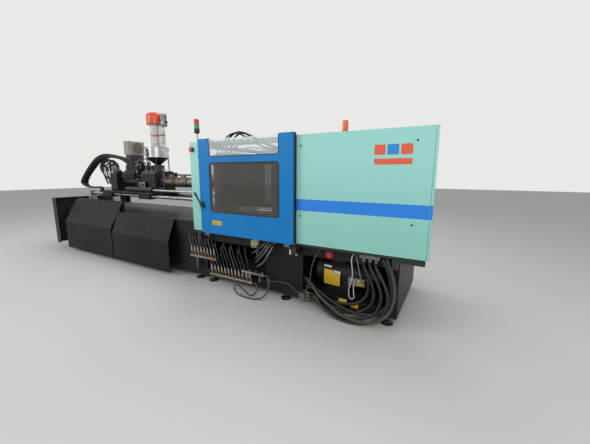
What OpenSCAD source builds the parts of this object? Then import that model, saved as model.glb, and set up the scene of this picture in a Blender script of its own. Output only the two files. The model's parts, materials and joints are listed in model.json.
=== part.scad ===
// Horizontal hydraulic injection moulding machine, operator side at -Y.
// X runs along the machine (+X is the clamp end), Z is up, the floor is z = 0.

/* [Overall] */
// Length over the tail panel and the clamp guards
machine_l = 6900; // [6860:10:7000]
// Height of the screw and ram axis above the floor
axis_z = 1350; // [1340:5:1370]
// Height of the levelling feet
foot_h = 90; // [70:5:110]
// Half width of the base frames
frame_y = 600; // [590:5:615]
// Half width over the fixed sheet metal guards
guard_y = 750; // [745:5:765]

/* [Guards] */
// Length of the fixed clamp guard
guard_l = 1290; // [1270:10:1300]
// Length of the sliding gate
gate_l = 1344; // [1330:2:1350]
// Gap beside the closed gate
gate_side_gap = 3; // [2:1:6]
// Width of the fixed platen cover
cover_w = 207; // [200:1:215]
// Underside of the fixed guards
guard_z0 = 765; // [760:5:790]
// Top of the fixed guards
guard_z1 = 1885; // [1880:1:1886]
// Top of the gates
gate_z1 = 1908; // [1906:1:1915]
// Depth of the folded edges of the fixed guards
guard_fold = 60; // [50:5:65]
// Depth of the folded edges of the gates
gate_fold = 55; // [45:5:60]
// Running gap between a gate and the guard behind it
gate_gap = 5; // [3:1:8]
// Thickness of the guard sheet
sheet_t = 3; // [2:0.5:4]
// Width of the gate frame beside its window
gate_margin = 178; // [160:2:200]
// Height of the gate window
window_h = 586; // [560:2:600]
// Underside of the gate window
window_z0 = 1035; // [1020:5:1050]
// Corner radius of the gate window
window_r = 35; // [20:5:60]
// Underside of the clear upper pane
pane_z0 = 1700; // [1690:5:1720]
// Thickness of the glazing
glass_t = 5; // [4:1:6]
// Side of the square guard posts and rails
post_w = 50; // [40:5:50]

/* [Clamp] */
// Side of the square platens
platen_w = 860; // [850:10:880]
// Thickness of the fixed platen
fixed_t = 240; // [220:10:250]
// Thickness of the moving platen
moving_t = 220; // [210:10:240]
// Thickness of the cylinder platen
rear_t = 280; // [260:10:290]
// Distance between the platens when open
daylight = 710; // [680:10:730]
// Tie bar diameter
tie_d = 95; // [85:5:100]
// Distance from a tie bar's centre to the platen's edge
tie_edge = 102.5; // [100:0.5:106]
// Radial clearance of sliding shafts in their bores
run_fit = 0.05; // [0.02:0.01:0.08]
// Length of a tie bar nut
nut_l = 76; // [60:2:78]
// Diameter of a tie bar nut
nut_d = 158; // [150:2:164]
// Diameter of the clamp ram
ram_d = 260; // [240:10:280]
// Outer diameter of the clamp cylinder
cylinder_d = 440; // [430:10:460]
// Length of the clamp cylinder
cylinder_l = 660; // [640:10:680]
// Diameter of the locating ring bore
locating_d = 125; // [110:5:130]
// Depth of the locating ring bore
locating_t = 30; // [20:5:35]
// Tapping diameter of the mould clamping holes
tap_d = 17.5; // [14:0.5:20]
// Depth of the mould clamping holes
tap_depth = 45; // [30:5:60]

/* [Injection] */
// Distance from the fixed platen back to the hopper's axis
hopper_back = 1783; // [1780:1:1800]
// Diameter of the screw
screw_d = 50; // [45:1:50]
// Outer diameter of the barrel
barrel_d = 130; // [120:5:140]
// Outer diameter of the heater bands
band_d = 170; // [160:5:180]
// Diameter of the carriage guide rods
rail_d = 60; // [50:5:70]
// Height of the carriage guide rods
rail_z = 1100; // [1095:5:1105]
// Distance between the guide rods
rail_pitch = 460; // [440:10:480]
// Diameter of the injection cylinders
inj_d = 120; // [110:5:130]
// Distance between the injection cylinders
inj_pitch = 300; // [280:10:310]
// Diameter of the pull-in cylinders
pull_d = 84; // [76:2:88]
// Diameter of the pull-in rods
pull_rod_d = 36; // [30:2:40]
// Diameter of the hopper drum
hopper_d = 380; // [360:10:400]
// Height of the hopper drum
hopper_h = 175; // [160:5:190]
// Diameter of the loader tube
loader_d = 176; // [160:4:188]
// Height of the loader tube
loader_h = 379; // [360:1:400]

/* [Base] */
// Top of the clamp frame
clamp_top = 700; // [690:5:710]
// Top of the injection bed
bed_top = 830; // [820:5:840]
// Plate thickness of the frames
plate_t = 12; // [10:1:20]
// Thickness of the covers
cover_t = 3; // [2:0.5:4]

/* [Hidden] */
$fn = 64;
eps = 0.5;
seat_gap = 0.3;

// Stations along the machine
x_end = machine_l / 2;
x_rear_guard1 = x_end - 105;
x_tail = -machine_l / 2;
x_guard0 = x_end - guard_l;
x_gate1 = x_guard0 - gate_side_gap;
x_gate0 = x_gate1 - gate_l;
x_cover1 = x_gate0 - gate_side_gap;
x_cover0 = x_cover1 - cover_w;
x_fixed0 = x_cover0 + 80;
x_fixed1 = x_fixed0 + fixed_t;
x_moving0 = x_fixed1 + daylight;
x_moving1 = x_moving0 + moving_t;
cylinder_end_gap = 90;
x_rear1 = x_end - cylinder_end_gap - cylinder_l;
x_rear0 = x_rear1 - rear_t;
x_frame0 = x_cover0 - 40;
x_frame1 = x_end - 250;
x_join = x_frame0;
x_bed0 = x_tail + 150;

// Heights
way_h = 30;
way_z = clamp_top + way_h;
platen_z0 = axis_z - platen_w / 2;
platen_z1 = axis_z + platen_w / 2;
gate_z0 = guard_z0 - 5;
rail_top = guard_z1 + 3;
post_z1 = rail_top - 8;

// Widths
gate_y1 = guard_y + gate_gap;
gate_y = gate_y1 + gate_fold;
post_y1 = guard_y - guard_fold;
post_y0 = post_y1 - post_w;
way_w = 90;
way_y = platen_w / 2 - way_w / 2 - 10;
tie_r = tie_d / 2;
tie_at = platen_w / 2 - tie_edge;
platen_crop = 70;

// Clamp frame bays
wall = 100;
bay1_x0 = x_frame0 + wall;
bay1_x1 = bay1_x0 + 980;
bay2_x0 = bay1_x1 + wall;
bay2_x1 = bay2_x0 + 320;
bay3_x0 = bay2_x1 + wall;
bay3_x1 = x_frame1 - wall;
bay_z0 = 190;
bay_z1 = clamp_top - 100;
chute_y = 270;

// Injection unit
hopper_x = x_fixed0 - hopper_back;
housing_x0 = hopper_x - 230;
housing_x1 = hopper_x + 170;
housing_y = 200;
saddle_z1 = rail_z + 65;
saddle_y = 300;
saddle_x0 = housing_x0 - 1230;
saddle_x1 = housing_x1 + 30;
housing_z1 = axis_z + 185;
cross_x1 = housing_x0 - 620;
cross_x0 = cross_x1 - 200;
inj_x0 = housing_x0 - 470;
piston_rod_r = 28;
rail_y = rail_pitch / 2;
nozzle_tip_x = x_fixed1 - locating_t - 3;
head_x = x_fixed0 - 80;
pull_y = 250;
pull_z = [axis_z - 140, axis_z + 120];
pull_side = [-1, 1];
pull_x0 = housing_x0 - 370;
pull_x1 = housing_x1 - 20;
throat_z1 = housing_z1 + 105;
shutter_z = housing_z1 + 25;
shutter_t = 8;
cone_z1 = throat_z1 + 130;
drum_z1 = cone_z1 + hopper_h;
lid_t = 6;
tube_z0 = drum_z1 + seat_gap + lid_t;
tube_z1 = tube_z0 + loader_h;
tail_z1 = 1010;
door_x0 = x_tail + 550;
door_w = 700;
door_z0 = 180;
door_z1 = 760;

module box(x0, x1, y0, y1, z0, z1) {
    translate([x0, y0, z0]) cube([x1 - x0, y1 - y0, z1 - z0]);
}

module x_rod(x0, x1, y, z, r, r2 = -1) {
    translate([x0, y, z]) rotate([0, 90, 0]) cylinder(h = x1 - x0, r1 = r, r2 = r2 < 0 ? r : r2);
}

module y_rod(x, y0, y1, z, r) {
    translate([x, y0, z]) rotate([-90, 0, 0]) cylinder(h = y1 - y0, r = r);
}

module z_rod(x, y, z0, z1, r, r2 = -1) {
    translate([x, y, z0]) cylinder(h = z1 - z0, r1 = r, r2 = r2 < 0 ? r : r2);
}

// Rectangle with round corners, lower left corner at the origin
module round_rect(w, h, r) {
    translate([r, 0]) square([w - 2 * r, h]);
    translate([0, r]) square([w, h - 2 * r]);
    for (x = [r, w - r], y = [r, h - r]) translate([x, y]) circle(r = r);
}

// Outline in X and Z raised along Y, from y0 to y1
module xz_plate(y0, y1) {
    translate([0, y1, 0]) rotate([90, 0, 0]) linear_extrude(height = y1 - y0) children();
}

// Outline in Y and Z raised along X, from x0 to x1
module yz_plate(x0, x1) {
    translate([x0, 0, 0]) rotate([90, 0, 90]) linear_extrude(height = x1 - x0) children();
}

// Sheet metal tray with its skin towards -Y and its folds towards +Y
module tray(x0, x1, y0, z0, z1, depth, t) {
    difference() {
        box(x0, x1, y0, y0 + depth, z0, z1);
        box(x0 + t, x1 - t, y0 + t, y0 + depth + eps, z0 + t, z1 - t);
    }
}

module at_tie_bars() {
    for (y = [-tie_at, tie_at], z = [-tie_at, tie_at]) translate([0, y, axis_z + z]) children();
}

// Foot with a rubber pad, a threaded stem and two nuts
module foot(x, y) {
    z_rod(x, y, 0, 18, 60);
    z_rod(x, y, 18, 32, 45, 22);
    z_rod(x, y, 32, foot_h, 12);
    translate([x, y, foot_h - 14]) cylinder(h = 14, r = 20, $fn = 6);
}

module levelling_feet() {
    color("#3b3b3d") {
        for (s = [-1, 1]) {
            for (x = [x_frame0 + 140, bay2_x0 + 160, x_frame1 - 100]) foot(x, s * (frame_y - 60));
            for (x = [x_bed0 + 120, (x_bed0 + x_join) / 2, x_join - 120]) foot(x, s * (frame_y - 60));
        }
    }
}

// Welded box under the clamp, with a drop chute and two bays open to the front
module clamp_frame() {
    color("#1d1f22") {
        difference() {
            box(x_frame0, x_frame1, -frame_y, frame_y, foot_h, clamp_top);
            for (b = [[bay1_x0, bay1_x1], [bay3_x0, bay3_x1]])
                box(b[0], b[1], -frame_y + wall, frame_y - plate_t, bay_z0, bay_z1);
            box(bay1_x0, bay1_x1, -frame_y - eps, 0, bay_z0, bay_z1);
            box(bay3_x0, bay3_x1, -frame_y - eps, 0, bay_z0, bay_z1);
            box(x_fixed1 + 20, x_moving0 - 90, -chute_y, chute_y, bay_z1 - eps, clamp_top + eps);
        }
        for (s = [-1, 1])
            box(x_fixed0, x_rear1 + 40, s * way_y - way_w / 2, s * way_y + way_w / 2,
                clamp_top + seat_gap, way_z);
    }
}

// Cast platen outline with cropped corners
module platen_outline(w) {
    h = w / 2;
    c = platen_crop;
    translate([0, axis_z])
        polygon([
            [-h + c, -h], [h - c, -h], [h, -h + c], [h, h - c],
            [h - c, h], [-h + c, h], [-h, h - c], [-h, -h + c]
        ]);
}

// Wedge feet that carry a platen's cropped lower corners on the ways
module platen_feet(x0, x1, z0) {
    y0 = platen_w / 2 - platen_crop;
    y1 = y0 + 55;
    for (s = [-1, 1])
        yz_plate(x0, x1) polygon([
            [s * y0, z0], [s * y1, z0], [s * y1, platen_z0 + y1 - y0 - 0.5], [s * y0, platen_z0 - 0.5]
        ]);
}

module mould_holes(x, dir) {
    for (p = [[280, 280], [420, 420], [700, 210]], y = [-1, 1], z = [-1, 1])
        translate([x - (dir > 0 ? tap_depth : eps), y * p[0] / 2, axis_z + z * p[1] / 2])
            rotate([0, 90, 0]) cylinder(h = tap_depth + eps, r = tap_d / 2);
}

module fixed_platen() {
    cone_x1 = x_fixed1 - locating_t - 20;
    color("#4a5a62") {
        difference() {
            union() {
                yz_plate(x_fixed0, x_fixed1) platen_outline(platen_w);
                platen_feet(x_fixed0 + 20, x_fixed1 - 10, way_z);
            }
            at_tie_bars() translate([x_fixed0 - eps, 0, 0]) rotate([0, 90, 0])
                cylinder(h = fixed_t + 2 * eps, r = tie_r + run_fit);
            x_rod(x_fixed0 - eps, cone_x1, 0, axis_z, 175, 50);
            x_rod(cone_x1 - eps, x_fixed1, 0, axis_z, 50);
            x_rod(x_fixed1 - locating_t, x_fixed1 + eps, 0, axis_z, locating_d / 2);
            mould_holes(x_fixed1, 1);
        }
    }
}

module rear_platen() {
    color("#4a5a62") {
        difference() {
            union() {
                yz_plate(x_rear0, x_rear1) platen_outline(platen_w);
                platen_feet(x_rear0 + 20, x_rear1 - 20, way_z);
            }
            at_tie_bars() translate([x_rear0 - eps, 0, 0]) rotate([0, 90, 0])
                cylinder(h = rear_t + 2 * eps, r = tie_r + run_fit);
            x_rod(x_rear0 - eps, x_rear1 + eps, 0, axis_z, ram_d / 2 + run_fit);
        }
    }
}

module moving_platen() {
    color("#4a5a62") {
        difference() {
            union() {
                yz_plate(x_moving0, x_moving1) platen_outline(platen_w);
                platen_feet(x_moving0 - 20, x_moving1 + 60, way_z + seat_gap);
            }
            at_tie_bars() translate([x_moving0 - eps, 0, 0]) rotate([0, 90, 0])
                cylinder(h = moving_t + 2 * eps, r = tie_r + run_fit);
            for (p = ejector_at)
                x_rod(x_moving0 - eps, x_moving1 + eps, p[0], axis_z + p[1], ejector_r + run_fit);
            mould_holes(x_moving0, -1);
            for (s = [-1, 1])
                box(x_moving0 + 60, x_moving1 + eps, s * 345 - 35, s * 345 + 35, axis_z - 180, axis_z + 180);
        }
    }
}

module tie_bars() {
    color("#c9cdd2") {
        at_tie_bars() x_rod(x_fixed0 - nut_l - 4, x_rear1 + nut_l + 10, 0, 0, tie_r);
    }
}

// Eight round nuts with spanner slots
module tie_bar_nuts() {
    slot = 14;
    color("#6b6f74") {
        for (x = [x_fixed0 - nut_l, x_rear1])
            at_tie_bars() difference() {
                x_rod(x, x + nut_l, 0, 0, nut_d / 2);
                x_rod(x - eps, x + nut_l + eps, 0, 0, tie_r + run_fit);
                for (a = [0 : 60 : 300]) rotate([a, 0, 0])
                    box(x + 12, x + nut_l - 12, -slot / 2, slot / 2, nut_d / 2 - 9, nut_d / 2 + eps);
            }
    }
}

module clamp_cylinder() {
    flange_t = 45;
    flange_r = cylinder_d / 2 + 45;
    bore_r = ram_d / 2 + 15;
    end_t = 70;
    color("#2b2e31") {
        difference() {
            union() {
                x_rod(x_rear1, x_rear1 + flange_t, 0, axis_z, flange_r);
                x_rod(x_rear1 + flange_t, x_rear1 + cylinder_l, 0, axis_z, cylinder_d / 2);
                box(x_rear1 + cylinder_l - 200, x_rear1 + cylinder_l - 40, -80, 80, axis_z, axis_z + cylinder_d / 2 + 90);
                x_rod(x_rear1 + cylinder_l - eps, x_rear1 + cylinder_l + 25, 0, axis_z, 60);
                for (a = [15 : 30 : 345]) translate([0, 0, axis_z]) rotate([a, 0, 0])
                    x_rod(x_rear1 + flange_t - eps, x_rear1 + flange_t + 20, 0, flange_r - 22, 15);
            }
            x_rod(x_rear1 - eps, x_rear1 + cylinder_l - end_t, 0, axis_z, bore_r);
        }
    }
}

module clamp_ram() {
    color("#d4d8dc") {
        x_rod(x_moving1, x_moving1 + 45, 0, axis_z, ram_d / 2 + 30);
        x_rod(x_moving1 + 45, x_rear1 + cylinder_l - 90, 0, axis_z, ram_d / 2);
    }
}

ejector_r = 14;
ejector_at = [[-210, 60], [210, 60], [-210, -60], [210, -60]];
ejector_x = x_moving1 + 270;
ejector_rod_r = 15;
ejector_cyl_l = 160;

// Plate round the ram, with four ejector rods and two drive rods
module ejector_plate() {
    color("#8d9297") {
        difference() {
            yz_plate(ejector_x, ejector_x + 25) translate([-300, axis_z - 200]) round_rect(600, 400, 40);
            x_rod(ejector_x - eps, ejector_x + 26, 0, axis_z, ram_d / 2 + 12);
        }
        for (p = ejector_at) x_rod(x_moving0 + 12, ejector_x + eps, p[0], axis_z + p[1], ejector_r);
        for (s = [-1, 1]) x_rod(x_moving1 + 120, ejector_x + eps, s * 260, axis_z, ejector_rod_r);
    }
}

module ejector_cylinders() {
    color("#2b2e31") {
        for (s = [-1, 1]) difference() {
            union() {
                box(x_moving1, x_moving1 + 20, s * 260 - 40, s * 260 + 40, axis_z - 230, axis_z - 190);
                box(x_moving1, x_moving1 + 20, s * 260 - 16, s * 260 + 16, axis_z - 190, axis_z - 30);
                x_rod(x_moving1, x_moving1 + ejector_cyl_l, s * 260, axis_z, 34);
            }
            x_rod(x_moving1 + 10, x_moving1 + ejector_cyl_l + eps, s * 260, axis_z, ejector_rod_r + run_fit);
        }
    }
}

guard_post_x = [bay1_x0 - 60, bay2_x1 + 10, x_frame1 - post_w - 10];

// Square tube posts and rails that carry the guards
module guard_frame() {
    color("#2a2d30") {
        for (s = [-1, 1]) {
            y0 = min(s * post_y0, s * post_y1);
            y1 = max(s * post_y0, s * post_y1);
            x1 = s < 0 ? x_end - 30 : x_rear_guard1 + 5;
            foot_y = [min(s * (frame_y + seat_gap), s * post_y1), max(s * (frame_y + seat_gap), s * post_y1)];
            for (x = guard_post_x) {
                box(x, x + post_w, y0, y1, clamp_top - 80, post_z1);
                box(x, x + post_w, foot_y[0], foot_y[1], clamp_top - 80, clamp_top - 20);
            }
            box(guard_post_x[0], x1, y0, y1, post_z1 - post_w, post_z1);
            box(guard_post_x[1], x1, y0, y1, guard_z0 + 10, guard_z0 + 10 + post_w);
            box(guard_post_x[2], x1, y0, y1, clamp_top - 10, gate_z0 - 2);
        }
        for (x = [guard_post_x[0], guard_post_x[2]])
            box(x, x + post_w, -post_y1, post_y1, post_z1 - post_w, post_z1);
    }
}

low_rail_y1 = post_y1 + 36;
low_rail_y0 = post_y1 + 8;
low_rail_z0 = gate_z0 - 27;
low_rail_z1 = gate_z0 - 3;

// Flat top rails and lower guide bars for both gates
module gate_rails() {
    color("#8a8f94") {
        for (s = [-1, 1]) {
            a = s > 0 ? [post_y0 + 8, post_y1 - 8] : [-post_y1 + 8, -post_y0 - 8];
            b = s > 0 ? [low_rail_y0, low_rail_y1] : [-low_rail_y1, -low_rail_y0];
            arm = s > 0 ? [post_y1, low_rail_y0 + eps] : [-low_rail_y0 - eps, -post_y1];
            x1 = s < 0 ? x_end - 30 : x_rear_guard1 + 5;
            box(guard_post_x[0] + 130, x1, a[0], a[1], post_z1, rail_top);
            box(guard_post_x[0], x1, b[0], b[1], low_rail_z0, low_rail_z1);
            for (x = guard_post_x) box(x, x + post_w, arm[0], arm[1], low_rail_z0, low_rail_z1);
        }
    }
}

edge_bar = 26;
edge_strip = 18;
edge_groove = 5;

// Folded sheet with a grooved bar down its free edge
module clamp_guard_front() {
    color("#98d6cd") {
        difference() {
            union() {
                tray(x_guard0, x_end, -guard_y, guard_z0, guard_z1, guard_fold, sheet_t);
                box(x_end - edge_bar, x_end - eps, -guard_y + 1, -guard_y + 14, guard_z0 + 1, guard_z1 - 1);
            }
            box(x_end - edge_strip - edge_groove, x_end - edge_strip, -guard_y - eps, -guard_y + 8,
                guard_z0 - eps, guard_z1 + eps);
            for (x = [x_guard0 + 50, x_end - 155], z = [guard_z0 + 300, guard_z1 - 110])
                y_rod(x, -guard_y - eps, -guard_y + sheet_t + eps, z, 4);
        }
    }
}

// Rear guards: one tray over the clamp and one beside the fixed platen
module clamp_guard_rear() {
    color("#98d6cd") {
        mirror([0, 1, 0]) {
            tray(x_guard0, x_rear_guard1, -guard_y, guard_z0, guard_z1, guard_fold, sheet_t);
            tray(x_cover0, x_cover1, -guard_y, guard_z0, guard_z1, guard_fold, sheet_t);
        }
    }
}

knob_y = -guard_y + 36;
knob_z = guard_z1 - 25;
stop_x = x_cover0 + 46;
stop_z = guard_z1 - 91;

module platen_cover() {
    color("#98d6cd") {
        difference() {
            tray(x_cover0, x_cover1, -guard_y, guard_z0, guard_z1, guard_fold, sheet_t);
            y_rod(stop_x, -guard_y - eps, -guard_y + sheet_t + eps, stop_z, 11);
            x_rod(x_cover0 - eps, x_cover0 + sheet_t + eps, knob_y, knob_z, 4 + run_fit);
        }
    }
}

// Outline of the gate skin: window below, open notch for the upper pane
module gate_skin_outline(notch) {
    difference() {
        translate([x_gate0, gate_z0]) round_rect(gate_l, gate_z1 - gate_z0, 6);
        if (notch) {
            translate([x_gate0 + gate_margin, window_z0])
                round_rect(gate_l - 2 * gate_margin, window_h, window_r);
            translate([x_gate0 + gate_margin, pane_z0]) round_rect(gate_l - 2 * gate_margin, 400, window_r);
        }
    }
}

module front_gate_panel() {
    t = sheet_t;
    color("#0a7fc4") {
        difference() {
            union() {
                xz_plate(-gate_y, -gate_y + t) gate_skin_outline(true);
                difference() {
                    tray(x_gate0, x_gate1, -gate_y, gate_z0, gate_z1, gate_fold, t);
                    box(x_gate0 + t, x_gate1 - t, -gate_y - eps, -gate_y + gate_fold, gate_z0 + t, gate_z1 - t);
                    box(x_gate0 + gate_margin, x_gate1 - gate_margin, -gate_y - eps,
                        -gate_y1 + eps, pane_z0 + window_r, gate_z1 + eps);
                }
                for (x = [x_gate0 + gate_margin - 34, x_gate1 - gate_margin + 4])
                    box(x, x + 30, -gate_y + t, -gate_y + 33, gate_z0 + t, gate_z1 - t);
            }
            y_rod(handle_x, -gate_y - eps, -gate_y + t + eps, handle_z, 10);
        }
    }
}

module front_gate_window() {
    lap = 14;
    color("#2b2f31", 0.6)
        translate([0, seat_gap, 0]) xz_plate(-gate_y + sheet_t, -gate_y + sheet_t + glass_t)
            translate([x_gate0 + gate_margin - 4, window_z0 - lap])
                round_rect(gate_l - 2 * gate_margin + 8, window_h + 2 * lap, window_r / 2);
}

module front_gate_upper_pane() {
    lap = 14;
    color("#dfe8ea", 0.4)
        translate([0, seat_gap, 0]) xz_plate(-gate_y + sheet_t, -gate_y + sheet_t + glass_t)
            translate([x_gate0 + gate_margin - 4, pane_z0 - lap])
                round_rect(gate_l - 2 * gate_margin + 8, gate_z1 - pane_z0 + lap - 8, 6);
}

hanger_w = 70;
hanger_z0 = rail_top + 6;
hanger_z1 = hanger_z0 + 6;
guide_z0 = low_rail_z0 - 10;

// Two top hangers with slide shoes and two lower guides
module gate_brackets() {
    for (x = [x_gate0 + 50, x_gate1 - 50 - hanger_w]) {
        box(x, x + hanger_w, -gate_y + sheet_t, -post_y0 - 6, hanger_z0, hanger_z1);
        box(x, x + hanger_w, -post_y1 + 6, -post_y0 - 6, rail_top + seat_gap, hanger_z0 + eps);
        box(x, x + hanger_w, -gate_y + 6, -low_rail_y1 - 1, guide_z0, gate_z0);
        box(x, x + hanger_w, -low_rail_y1 - 1 - eps, -low_rail_y0 + 2, guide_z0, low_rail_z0 - 1);
    }
}

module front_gate_brackets() {
    color("#5c6166") gate_brackets();
}

handle_x = x_gate0 + 39;
handle_z = 1114;
handle_l = 180;
handle_tilt = 36;

// Lever that turns in the gate skin, drawn pointing up and to the left
module gate_handle() {
    color("#161719") {
        y_rod(handle_x, -gate_y - 22, -gate_y + 14, handle_z, 9.95);
        y_rod(handle_x, -gate_y - 22, -gate_y - seat_gap, handle_z, 34);
        translate([handle_x, -gate_y - 34, handle_z]) rotate([0, -handle_tilt, 0]) {
            translate([-11, 0, -54]) cube([22, 14, handle_l - 20]);
            translate([0, 7, -54]) sphere(r = 17);
            z_rod(0, 7, 90, handle_l, 12, 14);
            translate([0, 7, handle_l]) sphere(r = 14);
        }
    }
}

module rear_gate_panel() {
    t = sheet_t;
    color("#0a7fc4") {
        mirror([0, 1, 0]) {
            tray(x_gate0, x_gate1, -gate_y, gate_z0, gate_z1, gate_fold, t);
            for (z = [handle_z - 98, handle_z + 82])
                box(x_gate0 + 52, x_gate0 + 68, -gate_y - 32, -gate_y + 1, z, z + 16);
            box(x_gate0 + 52, x_gate0 + 68, -gate_y - 44, -gate_y - 31, handle_z - 98, handle_z + 98);
        }
    }
}

module rear_gate_brackets() {
    color("#5c6166") mirror([0, 1, 0]) gate_brackets();
}

tower_x = x_cover0 + 52;
tower_y = -post_y0 - post_w / 2;
tower_z = post_z1;

module tower_post() {
    color("#d8d8d4") {
        z_rod(tower_x, tower_y, tower_z, tower_z + 8, 24);
        z_rod(tower_x, tower_y, tower_z + 8, tower_z + 126, 12);
    }
    color("#18191b") z_rod(tower_x, tower_y, tower_z + 120, tower_z + 178, 34);
}

module tower_green_lens() {
    color("#1f9d5c") z_rod(tower_x, tower_y, tower_z + 178, tower_z + 236, 33);
}

module tower_red_lens() {
    color("#c8252b") {
        z_rod(tower_x, tower_y, tower_z + 236, tower_z + 290, 33);
        z_rod(tower_x, tower_y, tower_z + 290, tower_z + 298, 33, 24);
    }
}

beacon_x = 2615;

// Orange beacon on a bracket behind the guard rail
module beacon() {
    y = -post_y0 + 40;
    color("#ef6a2c") {
        box(beacon_x - 30, beacon_x + 30, -post_y0, y + 32, post_z1 - 40, post_z1 - 32);
        z_rod(beacon_x, y, post_z1 - 33, post_z1 + 20, 32);
        z_rod(beacon_x, y, post_z1 + 19, post_z1 + 110, 29);
        translate([beacon_x, y, post_z1 + 110]) sphere(r = 29);
    }
}

module e_stop_body() {
    color("#e2b21d") {
        difference() {
            union() {
                y_rod(stop_x, -guard_y - 14, -guard_y, stop_z, 31);
                y_rod(stop_x, -guard_y - eps, -guard_y + 24, stop_z, 10.5);
            }
            y_rod(stop_x, -guard_y - 15, -guard_y + 20, stop_z, 6 + run_fit);
        }
    }
}

module e_stop_button() {
    y0 = -guard_y - 38;
    color("#c4202a") {
        y_rod(stop_x, y0, y0 + 14, stop_z, 21);
        y_rod(stop_x, y0 + 13, -guard_y + 8, stop_z, 6);
    }
}

module selector_knob() {
    color("#151618") {
        x_rod(x_cover0 - 8, x_cover0 - seat_gap, knob_y, knob_z, 17);
        x_rod(x_cover0 - 30, x_cover0 - 7, knob_y, knob_z, 13);
        box(x_cover0 - 36, x_cover0 - 29, knob_y - 3, knob_y + 3, knob_z - 12, knob_z + 12);
        x_rod(x_cover0 - 7, x_cover0 + 16, knob_y, knob_z, 4);
    }
}

cabinet_x0 = door_x0 + 12;
cabinet_x1 = door_x0 + door_w - 12;
hinge_x = door_x0 - 14;
hinge_y = frame_y + 14;
arm_z = [110, 420];
tail_arm_y = frame_y - 70;
stand_z1 = 997;
bed_plate_z = bed_top + 4;

// Welded bed under the injection unit, with a control cabinet open at the rear
module injection_frame() {
    color("#1d1f22") {
        difference() {
            union() {
                box(x_bed0, x_join, -frame_y, frame_y, foot_h, bed_top);
                box(x_bed0, x_join - 40, -frame_y + 20, frame_y - 20, bed_top - eps, bed_plate_z);
            }
            box(cabinet_x0, cabinet_x1, -frame_y + 60, frame_y + eps, door_z0 + 12, door_z1 - 12);
        }
        for (x = [far_x0 + 120, far_x1 - 130, mid_x0 + 100, mid_x1 - 160], z = arm_z)
            box(x, x + 40, -guard_y + cover_t, -frame_y - seat_gap, z, z + 40);
        for (x = [far_x0 + 120, far_x1 - 130])
            box(x, x + 40, -500, -430, bed_plate_z + seat_gap, stand_z1);
        for (s = [-1, 1])
            box(x_tail + cover_t, x_bed0 - seat_gap, s * tail_arm_y - 30, s * tail_arm_y + 30, 400, 460);
        for (z = [door_z0 + 70, door_z1 - 130]) {
            box(hinge_x - 9, hinge_x + 9, frame_y - eps, hinge_y + 9, z, z + 8);
            z_rod(hinge_x, hinge_y, z + 8 - eps, z + 50, 4);
        }
    }
}

module cabinet_door() {
    y0 = frame_y + seat_gap;
    color("#26282b") {
        difference() {
            box(door_x0, door_x0 + door_w, y0, y0 + 22, door_z0, door_z1);
            box(door_x0 + 3, door_x0 + door_w - 3, y0 - eps, y0 + 19, door_z0 + 3, door_z1 - 3);
        }
        for (z = [door_z0 + 78.5, door_z1 - 121.5]) difference() {
            union() {
                z_rod(hinge_x, hinge_y, z, z + 40, 9);
                box(hinge_x, door_x0 + eps, hinge_y - 4, hinge_y + 4, z, z + 40);
            }
            z_rod(hinge_x, hinge_y, z - eps, z + 40 + eps, 4 + run_fit);
        }
        y_rod(door_x0 + door_w - 50, y0 + 21, y0 + 40, (door_z0 + door_z1) / 2, 14);
        box(door_x0 + door_w - 57, door_x0 + door_w - 43, y0 + 38, y0 + 48,
            (door_z0 + door_z1) / 2 - 45, (door_z0 + door_z1) / 2 + 15);
    }
}

// Folded cover: upright front, one slope and a flange that lies on its seat
module folded_cover(x0, x1, fold_z, top_y, top_z, flange) {
    t = cover_t;
    yz_plate(x0, x1) polygon([
        [-guard_y, 60], [-guard_y, fold_z], [-top_y, top_z], [-top_y + flange, top_z],
        [-top_y + flange, top_z - t], [-top_y + 1.3, top_z - t],
        [-guard_y + t, fold_z - 1.2], [-guard_y + t, 60]
    ]);
}

mid_x0 = hopper_x - 300;
mid_x1 = x_frame0 - 523;
far_x0 = x_tail + 450;
far_x1 = mid_x0 - 30;
mid_fold_z = 520;
mid_top_y = 620;
far_fold_z = 575;
far_top_y = 510;

module front_cover_mid() {
    color("#3a3c3c") folded_cover(mid_x0, mid_x1, mid_fold_z, mid_top_y, bed_plate_z + cover_t, 70);
}

module front_cover_far() {
    color("#3a3c3c") folded_cover(far_x0, far_x1, far_fold_z, far_top_y, stand_z1 + cover_t, 90);
}

// Deep tray that closes the tail, open towards the bed
module tail_panel() {
    t = cover_t;
    color("#57534c") {
        difference() {
            box(x_tail, x_bed0, -guard_y, guard_y, foot_h + 10, tail_z1);
            box(x_tail + t, x_bed0 + eps, -guard_y + t, guard_y - t, foot_h + 10 - eps, tail_z1 - t);
        }
    }
}

support_x = [x_tail + 460, x_join - 90];

// Two guide rods and the pedestals that hold their ends
module carriage_rails() {
    r = rail_d / 2;
    color("#c9cdd2") for (s = [-1, 1]) x_rod(support_x[0], x_join - 20, s * rail_y, rail_z, r);
    color("#2b2e31") for (x = support_x, s = [-1, 1]) difference() {
        yz_plate(x, x + 60) polygon([
            [s * rail_y - 80, bed_plate_z], [s * rail_y + 80, bed_plate_z],
            [s * rail_y + 50, rail_z + 45], [s * rail_y - 50, rail_z + 45]
        ]);
        x_rod(x - eps, x + 61, s * rail_y, rail_z, r + run_fit);
    }
}

// Saddle that rides on the rods and carries the injection unit
module carriage_base() {
    block_l = 300;
    color("#24272a") {
        difference() {
            union() {
                box(saddle_x0, saddle_x1, -saddle_y, saddle_y, saddle_z1 - 30, saddle_z1);
                for (x = [saddle_x0 + 100, saddle_x1 - block_l - 100], s = [-1, 1])
                    box(x, x + block_l, s * rail_y - 62, s * rail_y + 62, rail_z - 50, saddle_z1 - 29);
            }
            for (s = [-1, 1])
                x_rod(saddle_x0 - eps, saddle_x1 + eps, s * rail_y, rail_z, rail_d / 2 + run_fit);
        }
    }
}

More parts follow.
